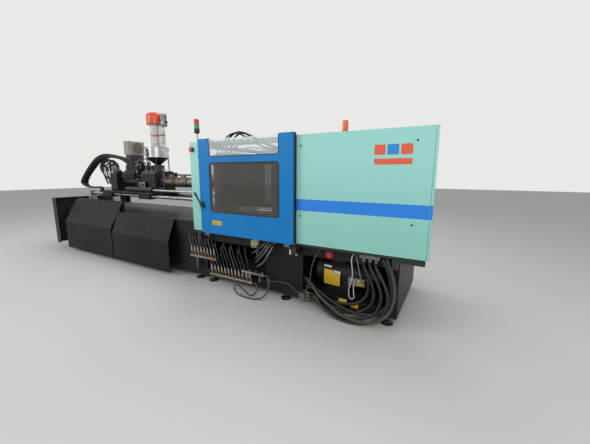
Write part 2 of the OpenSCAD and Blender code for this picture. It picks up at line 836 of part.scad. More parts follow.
// Cast housing round the barrel's feed end
module injection_housing() {
    c = 45;
    y = housing_y;
    color("#2e3236") {
        difference() {
            yz_plate(housing_x0, housing_x1) polygon([
                [-y, saddle_z1], [y, saddle_z1], [y, housing_z1 - c], [y - c, housing_z1],
                [-y + c, housing_z1], [-y, housing_z1 - c]
            ]);
            x_rod(housing_x0 - eps, housing_x1 + eps, 0, axis_z, barrel_d / 2 + run_fit);
            z_rod(hopper_x, 0, axis_z, housing_z1 + eps, 36);
        }
    }
}

module barrel() {
    r = barrel_d / 2;
    bore = screw_d / 2 + run_fit;
    tip = nozzle_tip_x - housing_x0;
    head = head_x - housing_x0;
    color("#6e5f52") {
        difference() {
            translate([housing_x0, 0, axis_z]) rotate([0, 90, 0]) rotate_extrude()
                polygon([
                    [bore, 0], [r, 0], [r, head], [r + 22, head + 5], [r + 22, head + 70],
                    [r - 12, head + 88], [r - 30, head + 95], [28, tip - 60], [14, tip],
                    [4, tip], [4, head + 60], [bore, head + 30]
                ]);
            z_rod(hopper_x, 0, axis_z, axis_z + r + eps, 30);
        }
    }
}

band_n = 5;
band_gap = 34;
band_x0 = housing_x1 + 35;
band_pitch = (head_x - 5 + band_gap - band_x0) / band_n;
band_l = band_pitch - band_gap;

// Heater bands with their terminal boxes
module heater_bands() {
    color("#8b8378") {
        for (i = [0 : band_n - 1]) {
            x = band_x0 + i * band_pitch;
            difference() {
                union() {
                    x_rod(x, x + band_l, 0, axis_z, band_d / 2);
                    box(x + band_l / 2 - 38, x + band_l / 2 + 37, -28, 28, axis_z + 60, axis_z + band_d / 2 + 34);
                    box(x + 40, x + band_l - 40, -band_d / 2 - 12, -band_d / 2 + 10, axis_z - 12, axis_z + 12);
                }
                x_rod(x - eps, x + band_l + eps, 0, axis_z, barrel_d / 2 + seat_gap);
            }
        }
    }
}

flight_x0 = hopper_x - 80;
flight_l = head_x - flight_x0 - 60;
flight_pitch = 75;
screw_core_r = 17;

// Screw: helical flight on a round core, a drive shank behind it
module screw() {
    turns = flight_l / flight_pitch;
    r = screw_d / 2 - 0.6;
    color("#b9bdc2") {
        x_rod(cross_x0 + seat_gap, flight_x0 + eps, 0, axis_z, screw_d / 2);
        translate([flight_x0, 0, axis_z]) rotate([0, 90, 0])
            linear_extrude(height = flight_l, twist = -360 * turns, slices = round(turns * 8), $fn = 6)
                union() {
                    circle(r = screw_core_r, $fn = 6);
                    polygon([[0, -6], [r, -4], [r, 4], [0, 6]]);
                }
        x_rod(flight_x0 + flight_l - eps, flight_x0 + flight_l + 60, 0, axis_z, screw_core_r, 4);
    }
}

// Moving drive housing behind the injection cylinders
module crosshead() {
    color("#23262a") {
        difference() {
            yz_plate(cross_x0, cross_x1) translate([-280, saddle_z1 + seat_gap])
                round_rect(560, housing_z1 - saddle_z1 - 20, 40);
            x_rod(cross_x0 - eps, cross_x1 + eps, 0, axis_z, screw_d / 2 + run_fit);
        }
        for (s = [-1, 1]) x_rod(cross_x1 - 20, inj_x0 + 240, s * inj_pitch / 2, axis_z, piston_rod_r);
    }
}

module screw_motor() {
    color("#1b1d20") {
        x_rod(cross_x0 - 60, cross_x0, 0, axis_z, 150);
        x_rod(cross_x0 - 330, cross_x0 - 60, 0, axis_z, 125);
        x_rod(cross_x0 - 420, cross_x0 - 330, 0, axis_z, 95);
        for (a = [0 : 45 : 315]) translate([0, 0, axis_z]) rotate([a, 0, 0])
            x_rod(cross_x0 - 340, cross_x0 - 50, 0, 128, 12);
        box(cross_x0 - 300, cross_x0 - 150, -60, 60, axis_z + 110, axis_z + 185);
    }
}

module injection_cylinders() {
    color("#1b1d20") {
        for (s = [-1, 1]) difference() {
            union() {
                x_rod(inj_x0, housing_x0, s * inj_pitch / 2, axis_z, inj_d / 2);
                x_rod(housing_x0 - 40, housing_x0, s * inj_pitch / 2, axis_z, inj_d / 2 + 8);
                x_rod(inj_x0, inj_x0 + 50, s * inj_pitch / 2, axis_z, inj_d / 2 + 8);
            }
            x_rod(inj_x0 - eps, inj_x0 + 260, s * inj_pitch / 2, axis_z, piston_rod_r + run_fit);
        }
    }
}

module pull_in_cylinders() {
    r = pull_d / 2;
    color("#2b2e31") {
        for (i = [0, 1]) {
            y = pull_side[i] * pull_y;
            difference() {
                union() {
                    x_rod(pull_x0, pull_x1, y, pull_z[i], r);
                    if (i == 0)
                        for (x = [pull_x0 + 40, pull_x1 - 110])
                            box(x, x + 70, y - 30, y + 30, saddle_z1, pull_z[i]);
                    if (i == 1)
                        for (x = [housing_x0 + 20, pull_x1 - 110])
                            box(x, x + 70, housing_y, y, pull_z[i] - 25, pull_z[i] + 25);
                }
                x_rod(pull_x0 + 30, pull_x1 + eps, y, pull_z[i], pull_rod_d / 2 + run_fit);
            }
        }
    }
}

module pull_in_rods() {
    color("#d4d8dc") {
        for (i = [0, 1]) {
            x_rod(pull_x0 + 420, x_fixed0, pull_side[i] * pull_y, pull_z[i], pull_rod_d / 2);
            x_rod(x_fixed0 - 24, x_fixed0, pull_side[i] * pull_y, pull_z[i], pull_rod_d / 2 + 16);
        }
    }
}

// Throat block with a shutter slot, cone, drum and three stay tubes
module hopper() {
    t = 3;
    r = hopper_d / 2;
    leg_r = 9;
    leg_at = r * 0.66;
    collar_h = 8;
    cone_rise = (cone_z1 - throat_z1 - collar_h) / (r - 45);
    leg_z1 = throat_z1 + collar_h + (leg_at * sqrt(2) - leg_r - 45) * cone_rise - 2 * seat_gap;
    color("#c4c7c9") {
        difference() {
            translate([hopper_x, 0, 0]) box(-75, 75, -70, 70, housing_z1, throat_z1);
            z_rod(hopper_x, 0, housing_z1 - eps, throat_z1 + eps, 40);
            translate([hopper_x, 0, 0])
                box(-51, 51, -71, 71, shutter_z - seat_gap, shutter_z + shutter_t + seat_gap);
        }
        translate([hopper_x, 0, 0]) rotate_extrude() polygon([
            [40, throat_z1 + seat_gap], [60, throat_z1 + seat_gap], [60, throat_z1 + collar_h],
            [45, throat_z1 + collar_h], [r, cone_z1 - seat_gap], [r - t, cone_z1 - seat_gap],
            [40, throat_z1 + 6]
        ]);
        translate([hopper_x, 0, 0]) rotate_extrude() polygon([
            [r - t, cone_z1], [r, cone_z1], [r, drum_z1 - 10], [r + 7, drum_z1 - 10],
            [r + 7, drum_z1], [r - t, drum_z1]
        ]);
        for (x = [-leg_at, leg_at], y = [-leg_at, leg_at])
            z_rod(hopper_x + x, y, housing_z1, leg_z1, leg_r);
    }
}

module hopper_shutter() {
    color("#a8adb2") {
        translate([hopper_x, 0, 0]) {
            difference() {
                box(-50, 50, -112, 150, shutter_z, shutter_z + shutter_t);
                z_rod(0, 0, shutter_z - eps, shutter_z + shutter_t + eps, 38);
            }
            y_rod(0, -150, -111, shutter_z + shutter_t / 2, 7);
        }
    }
}

canister_x = hopper_x + 168;

// Hopper lid with the clear loader tube and the filter canister beside it
module loader_tube() {
    r = loader_d / 2;
    color("#c9d0d4") {
        z_rod(hopper_x, 0, drum_z1 + seat_gap, tube_z0, hopper_d / 2 + 5);
        translate([hopper_x, 0, 0]) rotate_extrude() polygon([
            [r - 4, tube_z0 - eps], [r + 10, tube_z0 - eps], [r + 10, tube_z0 + 12], [r, tube_z0 + 12],
            [r, tube_z1 - 12], [r + 8, tube_z1 - 12], [r + 8, tube_z1], [r - 4, tube_z1]
        ]);
        z_rod(canister_x, 0, tube_z0 - eps, tube_z1 - 40, 50);
    }
}

module loader_cap() {
    r = loader_d / 2 + 12;
    color("#e8502c") {
        translate([hopper_x, 0, 0]) rotate_extrude() polygon([
            [0, tube_z1], [r, tube_z1], [r, tube_z1 + 150], [r - 8, tube_z1 + 172],
            [r - 40, tube_z1 + 190], [30, tube_z1 + 197], [26, tube_z1 + 215], [0, tube_z1 + 217]
        ]);
        difference() {
            box(hopper_x, canister_x - 30, -45, 45, tube_z1 + 40, tube_z1 + 130);
            z_rod(canister_x, 0, tube_z1, tube_z1 + 200, 51 + seat_gap);
        }
    }
}

module loader_motor() {
    z0 = tube_z1 - 40;
    color("#8e9296") {
        z_rod(canister_x, 0, z0, z0 + 20, 54);
        z_rod(canister_x, 0, z0 + 20, z0 + 170, 51);
        z_rod(canister_x, 0, z0 + 170, z0 + 215, 54, 40);
    }
}

block_x0 = inj_x0 - 30;
block_x1 = housing_x0 - 70;
block_z1 = housing_z1 + 105;
term_x1 = block_x0 + 130;
term_x0 = term_x1 - 140;
term_y = 155;
term_z0 = block_z1 + 195;
term_z1 = term_z0 + 245;

// Grey box with a round cover, on a dark box
module terminal_box() {
    color("#8f8d84") {
        box(term_x0, term_x1, -term_y, term_y, term_z0, term_z1);
        x_rod(term_x1 - eps, term_x1 + 10, 20, (term_z0 + term_z1) / 2, 114);
        x_rod(term_x0 - 34, term_x0 + eps, -70, (term_z0 + term_z1) / 2, 27);
        box(term_x0 + 10, term_x1 - 6, -135, 135, block_z1, term_z0 + eps);
    }
}

gauge_x = [housing_x0 + 55, housing_x0 + 125];
gauge_z = axis_z - 55;

// Valve stack over the injection cylinders, and the gauge block beside the housing
module valve_block() {
    color("#17191c") {
        difference() {
            union() {
                box(block_x0, block_x1, -200, 200, axis_z + 30, block_z1 - 90);
                box(block_x0, block_x1 - 60, -160, 160, block_z1 - 91, block_z1);
            }
            for (s = [-1, 1])
                x_rod(block_x0 - eps, block_x1 + eps, s * inj_pitch / 2, axis_z, inj_d / 2 + seat_gap);
            for (s = [-1, 1])
                x_rod(block_x0 - eps, inj_x0 + 51, s * inj_pitch / 2, axis_z, inj_d / 2 + 8 + seat_gap);
        }
        for (i = [0 : 3]) y_rod(block_x0 + 60 + i * 95, -262, -199, axis_z + 110, 30);
        for (i = [0 : 3])
            z_rod(block_x0 + 210 + i * 42, -110, block_z1 - eps, block_z1 + 40, 15);
        box(gauge_x[0] - 45, gauge_x[1] + 45, -250, -housing_y, gauge_z - 35, gauge_z + 45);
        for (x = gauge_x) y_rod(x, -278, -249, gauge_z + 5, 30);
    }
}

motor_x0 = bay3_x0 + 110;
motor_y = -330;
motor_z = 385;

// Electric motor with cooling fins, bell housing and pump, on two foot rails
module pump_motor() {
    r = 140;
    color("#20242a") {
        x_rod(motor_x0, motor_x0 + 60, motor_y, motor_z, r - 6);
        x_rod(motor_x0 + 60, motor_x0 + 420, motor_y, motor_z, r - 14);
        for (a = [0 : 15 : 345]) translate([0, motor_y, motor_z]) rotate([a, 0, 0])
            box(motor_x0 + 60, motor_x0 + 420, -2.5, 2.5, r - 16, r);
        x_rod(motor_x0 + 420, motor_x0 + 540, motor_y, motor_z, r, 90);
        x_rod(motor_x0 + 540, motor_x0 + 720, motor_y, motor_z, 75);
        box(motor_x0 + 160, motor_x0 + 320, motor_y - 70, motor_y + 70, motor_z + r - 20, motor_z + r + 50);
        for (s = [-1, 1])
            box(motor_x0 + 90, motor_x0 + 390, motor_y + s * 85 - 25, motor_y + s * 85 + 25,
                bay_z0, motor_z - 70);
    }
}

pipe_y = -frame_y - 55;
upper_pipe = [x_frame0 - 154, x_frame0 + 332, pipe_y, 360];
lower_pipe = [x_frame0 + 222, x_frame0 + 924, pipe_y, 150];
short_pipe = [x_frame0 + 767, x_frame0 + 1102, pipe_y, 278];
port_x = bay3_x0 + 107;
port_y = -650;
port_z = [115, 150, 185];
top_port_x = [bay3_x1 - 230, bay3_x1 - 170, bay3_x1 - 110];
top_port_z = 690;

module pipe_row(p, n) {
    r = 20;
    x_rod(p[0], p[1], p[2], p[3], r);
    for (i = [0 : n - 1]) {
        x = p[0] + 30 + i * (p[1] - p[0] - 60) / (n - 1);
        z_rod(x, p[2], p[3], p[3] + 44, 9);
        translate([x, p[2], p[3] + 30]) cylinder(h = 12, r = 13, $fn = 6);
    }
    for (f = [0.2, 0.75]) translate([p[0] + f * (p[1] - p[0]), 0, 0])
        box(0, 24, p[2], -frame_y, min(p[3] - 8, bay_z0 - 10), p[3] + 8);
}

// Water manifolds in front of the frame and the ports for the oil hoses
module manifolds() {
    color("#77777a") {
        pipe_row(upper_pipe, 8);
        pipe_row(lower_pipe, 12);
        pipe_row(short_pipe, 4);
        box(port_x - 110, port_x - 40, -690, -frame_y, 100, 190);
        for (z = port_z) x_rod(port_x - 41, port_x, port_y, z, 17);
        box(top_port_x[0] - 40, top_port_x[2] + 40, -690, -frame_y, top_port_z, top_port_z + 45);
        for (x = top_port_x) z_rod(x, port_y, top_port_z - 40, top_port_z + eps, 17);
    }
}

function unit(v) = v / norm(v);
function along(p, i) = unit(p[min(i + 1, len(p) - 1)] - p[max(i - 1, 0)]);
function side_of(d) = unit(cross(d, abs(d[2]) > 0.9 ? [0, 1, 0] : [0, 0, 1]));

// Plain tube along a route, one ring at each point
module tube(route, d, sides = 10) {
    n = len(route);
    rings = [
        for (i = [0 : n - 1]) let (t = along(route, i), u = side_of(t), v = cross(t, u))
            for (k = [0 : sides - 1]) let (a = 360 * k / sides)
                route[i] + d / 2 * (cos(a) * u + sin(a) * v)
    ];
    quads = [
        for (i = [0 : n - 2], k = [0 : sides - 1])
            [i * sides + k, i * sides + (k + 1) % sides, (i + 1) * sides + (k + 1) % sides, (i + 1) * sides + k]
    ];
    cap0 = [for (k = [sides - 1 : -1 : 0]) k];
    cap1 = [for (k = [0 : sides - 1]) (n - 1) * sides + k];
    polyhedron(points = rings, faces = concat([cap0], quads, [cap1]), convexity = 4);
}

hose_d = 32;

module hydraulic_hose_1() {
    color("#17181a") tube([[2870, -650, 650], [2870, -650, 600], [2940, -658, 470], [2985, -664, 330],
        [2950, -668, 200], [2830, -668, 110], [2640, -662, 70], [2450, -654, 90], [2330, -650, 115],
        [2270, -650, 115]], hose_d);
}

module hydraulic_hose_2() {
    color("#17181a") tube([[2930, -650, 650], [2930, -650, 600], [3020, -668, 450], [3060, -684, 310],
        [3010, -700, 150], [2850, -708, 60], [2650, -708, 40], [2460, -698, 100], [2350, -666, 150],
        [2310, -650, 150], [2270, -650, 150]], hose_d);
}

module hydraulic_hose_3() {
    color("#17181a") tube([[2990, -650, 650], [2990, -650, 600], [3090, -690, 450], [3130, -716, 300],
        [3070, -738, 130], [2880, -748, 35], [2650, -746, 30], [2470, -736, 110], [2358, -682, 188],
        [2314, -650, 185], [2270, -650, 185]], hose_d);
}

module mould_hose() {
    color("#17181a") tube([[800, -300, 1780], [800, -300, 1850], [860, -296, 1970], [980, -280, 2040],
        [1110, -230, 2020], [1230, -130, 1940], [1320, 20, 1875], [1370, 220, 1850], [1400, 560, 1855],
        [1400, 640, 1855]], 26);
}

module water_loop_hose() {
    color("#4c4e50") tube([[1665.2, -655, 278], [1705, -655, 278], [1740, -668, 230], [1745, -700, 130],
        [1700, -740, 45], [1600, -775, 14], [1480, -785, 14], [1340, -765, 20], [1250, -735, 75],
        [1290, -712, 110], [1400, -715, 60], [1500, -735, 24], [1570, -720, 60], [1570, -676, 125],
        [1530, -655, 150], [1487.2, -655, 150]], 20, 8);
}

clamp_frame();
levelling_feet();
fixed_platen();
rear_platen();
tie_bars();
tie_bar_nuts();
clamp_cylinder();
guard_frame();
gate_rails();
clamp_guard_front();
clamp_guard_rear();
platen_cover();
front_gate_panel();
front_gate_window();
front_gate_upper_pane();
front_gate_brackets();
gate_handle();
rear_gate_panel();
rear_gate_brackets();
tower_post();
tower_red_lens();
tower_green_lens();
beacon();
e_stop_body();
e_stop_button();
selector_knob();
moving_platen();
clamp_ram();
ejector_plate();
ejector_cylinders();
injection_frame();
front_cover_mid();
front_cover_far();
tail_panel();
cabinet_door();
carriage_rails();
carriage_base();
injection_housing();
barrel();
heater_bands();
screw();
crosshead();
screw_motor();
injection_cylinders();
pull_in_cylinders();
pull_in_rods();
hopper();
hopper_shutter();
loader_tube();
loader_cap();
loader_motor();
terminal_box();
valve_block();
pump_motor();
manifolds();
hydraulic_hose_1();
hydraulic_hose_2();
hydraulic_hose_3();
mould_hose();
water_loop_hose();
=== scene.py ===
import bmesh
import bpy
import json
import math
from mathutils import Matrix, Vector


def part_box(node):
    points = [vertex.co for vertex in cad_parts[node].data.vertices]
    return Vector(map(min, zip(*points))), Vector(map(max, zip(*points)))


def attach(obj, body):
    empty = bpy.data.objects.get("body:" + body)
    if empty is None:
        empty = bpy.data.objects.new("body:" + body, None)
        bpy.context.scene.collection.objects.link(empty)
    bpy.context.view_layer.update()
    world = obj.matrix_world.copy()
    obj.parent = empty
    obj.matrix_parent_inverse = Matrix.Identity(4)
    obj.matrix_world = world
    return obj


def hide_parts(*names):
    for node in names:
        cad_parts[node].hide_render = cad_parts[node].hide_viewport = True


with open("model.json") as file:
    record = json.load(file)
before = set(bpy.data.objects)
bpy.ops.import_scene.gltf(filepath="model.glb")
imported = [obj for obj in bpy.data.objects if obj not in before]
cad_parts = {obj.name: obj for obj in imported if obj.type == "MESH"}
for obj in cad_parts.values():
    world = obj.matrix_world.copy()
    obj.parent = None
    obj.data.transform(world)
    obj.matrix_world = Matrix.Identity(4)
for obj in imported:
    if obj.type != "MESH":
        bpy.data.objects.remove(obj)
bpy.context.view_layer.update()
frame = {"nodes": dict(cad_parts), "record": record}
cadNodes = frame["nodes"]
millimetre = 0.001


def toLinear(channel):
    return channel / 12.92 if channel <= 0.04045 else ((channel + 0.055) / 1.055) ** 2.4


def paint(hexValue, alpha=1.0):
    red, green, blue = (toLinear(int(hexValue[i:i + 2], 16) / 255) for i in (1, 3, 5))
    return (red, green, blue, alpha)


def cells(millimetres):
    # Marks per metre of a pattern whose marks are this far apart in millimetres
    return 1000 / millimetres


def addNode(tree, kind, settings=None, links=None):
    node = tree.nodes.new(kind)
    for key, value in (settings or {}).items():
        if isinstance(key, int) or key in node.inputs:
            node.inputs[key].default_value = value
        else:
            setattr(node, key, value)
    for key, socket in (links or {}).items():
        tree.links.new(socket, node.inputs[key])
    return node


print("camera and light")
cameraSet = {"place": (3.605, -3.350, 1.500), "yaw": 29.35, "down": 9.62, "roll": 0.17,
             "focal": 285.6, "imageWidth": 590, "sensor": 36.0}


def makeCamera():
    data = bpy.data.cameras.new("photoCamera")
    data.sensor_width = cameraSet["sensor"]
    data.lens = cameraSet["sensor"] * cameraSet["focal"] / cameraSet["imageWidth"]
    data.clip_end = 100
    camera = bpy.data.objects.new("photoCamera", data)
    bpy.context.scene.collection.objects.link(camera)
    turn = (Matrix.Rotation(math.radians(cameraSet["yaw"]), 4, "Z")
            @ Matrix.Rotation(math.radians(90 - cameraSet["down"]), 4, "X")
            @ Matrix.Rotation(math.radians(cameraSet["roll"]), 4, "Z"))
    camera.matrix_world = Matrix.Translation(cameraSet["place"]) @ turn
    bpy.context.scene.camera = camera
    return camera


studioSet = {
    "backdrop": "#e9e9e6", "skyLight": 0.48, "floor": "#cfcfcb", "floorSize": 60,
    "lamps": [  # place, aim, width, height, watts
        ((5.5, -6.5, 4.6), (1.2, 0, 1.0), 4.0, 3.0, 190),
        ((-4.5, -7.0, 4.2), (-1.5, 0, 1.0), 4.5, 3.0, 215),
        ((1.0, 1.5, 6.5), (0, 0, 1.0), 7.0, 3.0, 190),
    ],
}


def makeStudio():
    scene = bpy.context.scene
    scene.view_settings.view_transform = "Standard"
    world = bpy.data.worlds.new("paleRoom")
    scene.world = world
    world.use_nodes = True
    tree = world.node_tree
    tree.nodes.clear()
    path = addNode(tree, "ShaderNodeLightPath")
    seen = addNode(tree, "ShaderNodeMath", {"operation": "MAXIMUM"},
                   {0: path.outputs["Is Camera Ray"], 1: path.outputs["Is Glossy Ray"]})
    clear = addNode(tree, "ShaderNodeMath", {"operation": "MAXIMUM"},
                    {0: seen.outputs[0], 1: path.outputs["Is Transmission Ray"]})
    light = addNode(tree, "ShaderNodeBackground",
                    {"Color": paint("#f4f5f7"), "Strength": studioSet["skyLight"]})
    view = addNode(tree, "ShaderNodeBackground", {"Color": paint(studioSet["backdrop"]), "Strength": 1.0})
    mixed = addNode(tree, "ShaderNodeMixShader", {},
                    {0: clear.outputs[0], 1: light.outputs[0], 2: view.outputs[0]})
    addNode(tree, "ShaderNodeOutputWorld", {}, {"Surface": mixed.outputs[0]})
    for index, (place, aim, width, height, watts) in enumerate(studioSet["lamps"]):
        data = bpy.data.lights.new(f"softLamp{index}", "AREA")
        data.shape = "RECTANGLE"
        data.size, data.size_y, data.energy = width, height, watts
        lamp = bpy.data.objects.new(f"softLamp{index}", data)
        scene.collection.objects.link(lamp)
        lamp.location = place
        lamp.rotation_euler = (Vector(aim) - Vector(place)).to_track_quat("-Z", "Y").to_euler()


def makeFloor():
    half = studioSet["floorSize"] / 2
    part = bmesh.new()
    bmesh.ops.create_grid(part, x_segments=1, y_segments=1, size=half)
    mesh = bpy.data.meshes.new("studioFloor")
    part.to_mesh(mesh)
    part.free()
    floor = bpy.data.objects.new("studioFloor", mesh)
    bpy.context.scene.collection.objects.link(floor)
    material = bpy.data.materials.new("paleFloor")
    material.use_nodes = True
    shader = material.node_tree.nodes["Principled BSDF"]
    shader.inputs["Base Color"].default_value = paint(studioSet["floor"])
    shader.inputs["Roughness"].default_value = 0.85
    mesh.materials.append(material)


makeCamera()
makeStudio()
makeFloor()

print("finishes")


def newFinish(name):
    material = bpy.data.materials.new(name)
    material.use_nodes = True
    tree = material.node_tree
    place = addNode(tree, "ShaderNodeTexCoord").outputs["Object"]
    return material, tree, tree.nodes["Principled BSDF"], place


def sprayedPaint(name, look):
    # Sprayed enamel on steel: oily blotches, dust where it can lie, and slight orange peel,
    # which is drawn at twice its real 2 mm so that it shows
    material, tree, shader, place = newFinish(name)
    blotch = addNode(tree, "ShaderNodeTexNoise", {"Scale": cells(454.5), "Detail": 5.0, "Roughness": 0.6},
                     {"Vector": place})
    worn = addNode(tree, "ShaderNodeMapRange", {"From Min": 0.42, "From Max": 0.72},
                   {"Value": blotch.outputs["Fac"]})
    body = addNode(tree, "ShaderNodeMix", {"data_type": "RGBA", 6: paint(look["base"]),
                                           7: paint(look["shade"])}, {0: worn.outputs[0]})
    speck = addNode(tree, "ShaderNodeTexNoise", {"Scale": cells(6.25), "Detail": 3.0}, {"Vector": place})
    normal = addNode(tree, "ShaderNodeNewGeometry").outputs["Normal"]
    upward = addNode(tree, "ShaderNodeSeparateXYZ", {}, {"Vector": normal})
    lying = addNode(tree, "ShaderNodeMapRange",
                    {"From Min": 0.35, "From Max": 0.95, "To Max": look.get("dust", 0.5)},
                    {"Value": upward.outputs["Z"]})
    patchy = addNode(tree, "ShaderNodeMath", {"operation": "MULTIPLY_ADD", 1: 0.6, 2: 0.7},
                     {0: speck.outputs["Fac"]})
    amount = addNode(tree, "ShaderNodeMath", {"operation": "MULTIPLY", "use_clamp": True},
                     {0: lying.outputs[0], 1: patchy.outputs[0]})
    dusty = addNode(tree, "ShaderNodeMix", {"data_type": "RGBA", 7: paint(look.get("dustColor", "#8d8478"))},
                    {0: amount.outputs[0], 6: body.outputs[2]})
    tree.links.new(dusty.outputs[2], shader.inputs["Base Color"])
    gloss = addNode(tree, "ShaderNodeMapRange",
                    {"To Min": look["rough"] - 0.05, "To Max": look["rough"] + 0.14},
                    {"Value": blotch.outputs["Fac"]})
    matt = addNode(tree, "ShaderNodeMath", {"operation": "MULTIPLY_ADD", "use_clamp": True, 1: 0.35},
                   {0: amount.outputs[0], 2: gloss.outputs[0]})
    tree.links.new(matt.outputs[0], shader.inputs["Roughness"])
    shader.inputs["Coat Weight"].default_value = look.get("coat", 0.0)
    shader.inputs["Coat Roughness"].default_value = 0.12
    shader.inputs["Specular IOR Level"].default_value = look.get("shine", 0.5)
    peel = addNode(tree, "ShaderNodeTexNoise", {"Scale": cells(look.get("peel", 4.545)), "Detail": 2.0},
                   {"Vector": place})
    bump = addNode(tree, "ShaderNodeBump", {"Strength": look.get("bump", 0.06), "Distance": 0.002},
                   {"Height": peel.outputs["Fac"]})
    tree.links.new(bump.outputs[0], shader.inputs["Normal"])
    return material


def workedSteel(name, look):
    # Ground, drawn or spun steel: lines along one axis, and oil stains that dull the shine.
    # Real lines are under 0.1 mm apart, so they are drawn as coarse as they need to show
    material, tree, shader, place = newFinish(name)
    grain = [cells(size) for size in look.get("grain", (166.7, 2.381, 2.381))]
    stretched = addNode(tree, "ShaderNodeMapping", {"Scale": grain}, {"Vector": place})
    lines = addNode(tree, "ShaderNodeTexNoise", {"Scale": 1.0, "Detail": 4.0},
                    {"Vector": stretched.outputs[0]})
    stain = addNode(tree, "ShaderNodeTexNoise", {"Scale": cells(200.0), "Detail": 6.0, "Roughness": 0.65},
                    {"Vector": place})
    stained = addNode(tree, "ShaderNodeMapRange", {"From Min": 0.45, "From Max": 0.72},
                      {"Value": stain.outputs["Fac"]})
    tone = addNode(tree, "ShaderNodeMix", {"data_type": "RGBA", 6: paint(look["base"]),
                                           7: paint(look["shade"])}, {0: stained.outputs[0]})
    # Below the given height the steel takes the darker low colour
    if "below" in look:
        height = addNode(tree, "ShaderNodeSeparateXYZ", {}, {"Vector": place})
        under = addNode(tree, "ShaderNodeMapRange",
                        {"From Min": look["below"] + 0.004, "From Max": look["below"]},
                        {"Value": height.outputs["Z"]})
        tone = addNode(tree, "ShaderNodeMix", {"data_type": "RGBA", 7: paint(look["low"])},
                       {0: under.outputs[0], 6: tone.outputs[2]})
    tree.links.new(tone.outputs[2], shader.inputs["Base Color"])
    shader.inputs["Metallic"].default_value = look.get("metal", 1.0)
    rough = addNode(tree, "ShaderNodeMapRange",
                    {"To Min": look["rough"] - 0.06, "To Max": look["rough"] + 0.14},
                    {"Value": lines.outputs["Fac"]})
    tree.links.new(rough.outputs[0], shader.inputs["Roughness"])
    bump = addNode(tree, "ShaderNodeBump", {"Strength": look.get("bump", 0.05), "Distance": 0.001},
                   {"Height": lines.outputs["Fac"]})
    tree.links.new(bump.outputs[0], shader.inputs["Normal"])
    return material


def mouldedPart(name, look):
    # Moulded plastic or rubber: a grain of about a millimetre and slight wear to the colour
    material, tree, shader, place = newFinish(name)
    wear = addNode(tree, "ShaderNodeTexNoise", {"Scale": cells(look.get("wear", 55.56)), "Detail": 4.0},
                   {"Vector": place})
    tone = addNode(tree, "ShaderNodeMix", {"data_type": "RGBA", 6: paint(look["base"]),
                                           7: paint(look["shade"])}, {0: wear.outputs["Fac"]})
    tree.links.new(tone.outputs[2], shader.inputs["Base Color"])
    rough = addNode(tree, "ShaderNodeMapRange",
                    {"To Min": look["rough"] - 0.06, "To Max": look["rough"] + 0.1},
                    {"Value": wear.outputs["Fac"]})
    tree.links.new(rough.outputs[0], shader.inputs["Roughness"])
    shader.inputs["Coat Weight"].default_value = look.get("coat", 0.0)
    shader.inputs["Subsurface Weight"].default_value = look.get("glow", 0.0)
    shader.inputs["Subsurface Radius"].default_value = (0.01, 0.01, 0.01)
    grain = addNode(tree, "ShaderNodeTexVoronoi", {"Scale": cells(look.get("grain", 1.111))},
                    {"Vector": place})
    bump = addNode(tree, "ShaderNodeBump", {"Strength": look.get("bump", 0.04), "Distance": 0.0005},
                   {"Height": grain.outputs["Distance"]})
    tree.links.new(bump.outputs[0], shader.inputs["Normal"])
    return material


def glazing(name, look):
    # Plastic glazing: thin tinted sheet with wiping haze, shown through by its alpha
    material, tree, shader, place = newFinish(name)
    shader.inputs["Base Color"].default_value = paint(look["base"])
    haze = addNode(tree, "ShaderNodeTexNoise", {"Scale": cells(142.9), "Detail": 6.0, "Roughness": 0.7},
                   {"Vector": place})
    rough = addNode(tree, "ShaderNodeMapRange", {"To Min": look["rough"], "To Max": look["rough"] + 0.08},
                    {"Value": haze.outputs["Fac"]})
    tree.links.new(rough.outputs[0], shader.inputs["Roughness"])
    shader.inputs["IOR"].default_value = 1.49
    film = addNode(tree, "ShaderNodeMapRange",
                   {"To Min": look["alpha"] - 0.05, "To Max": look["alpha"] + 0.08},
                   {"Value": haze.outputs["Fac"]})
    tree.links.new(film.outputs[0], shader.inputs["Alpha"])
    return material


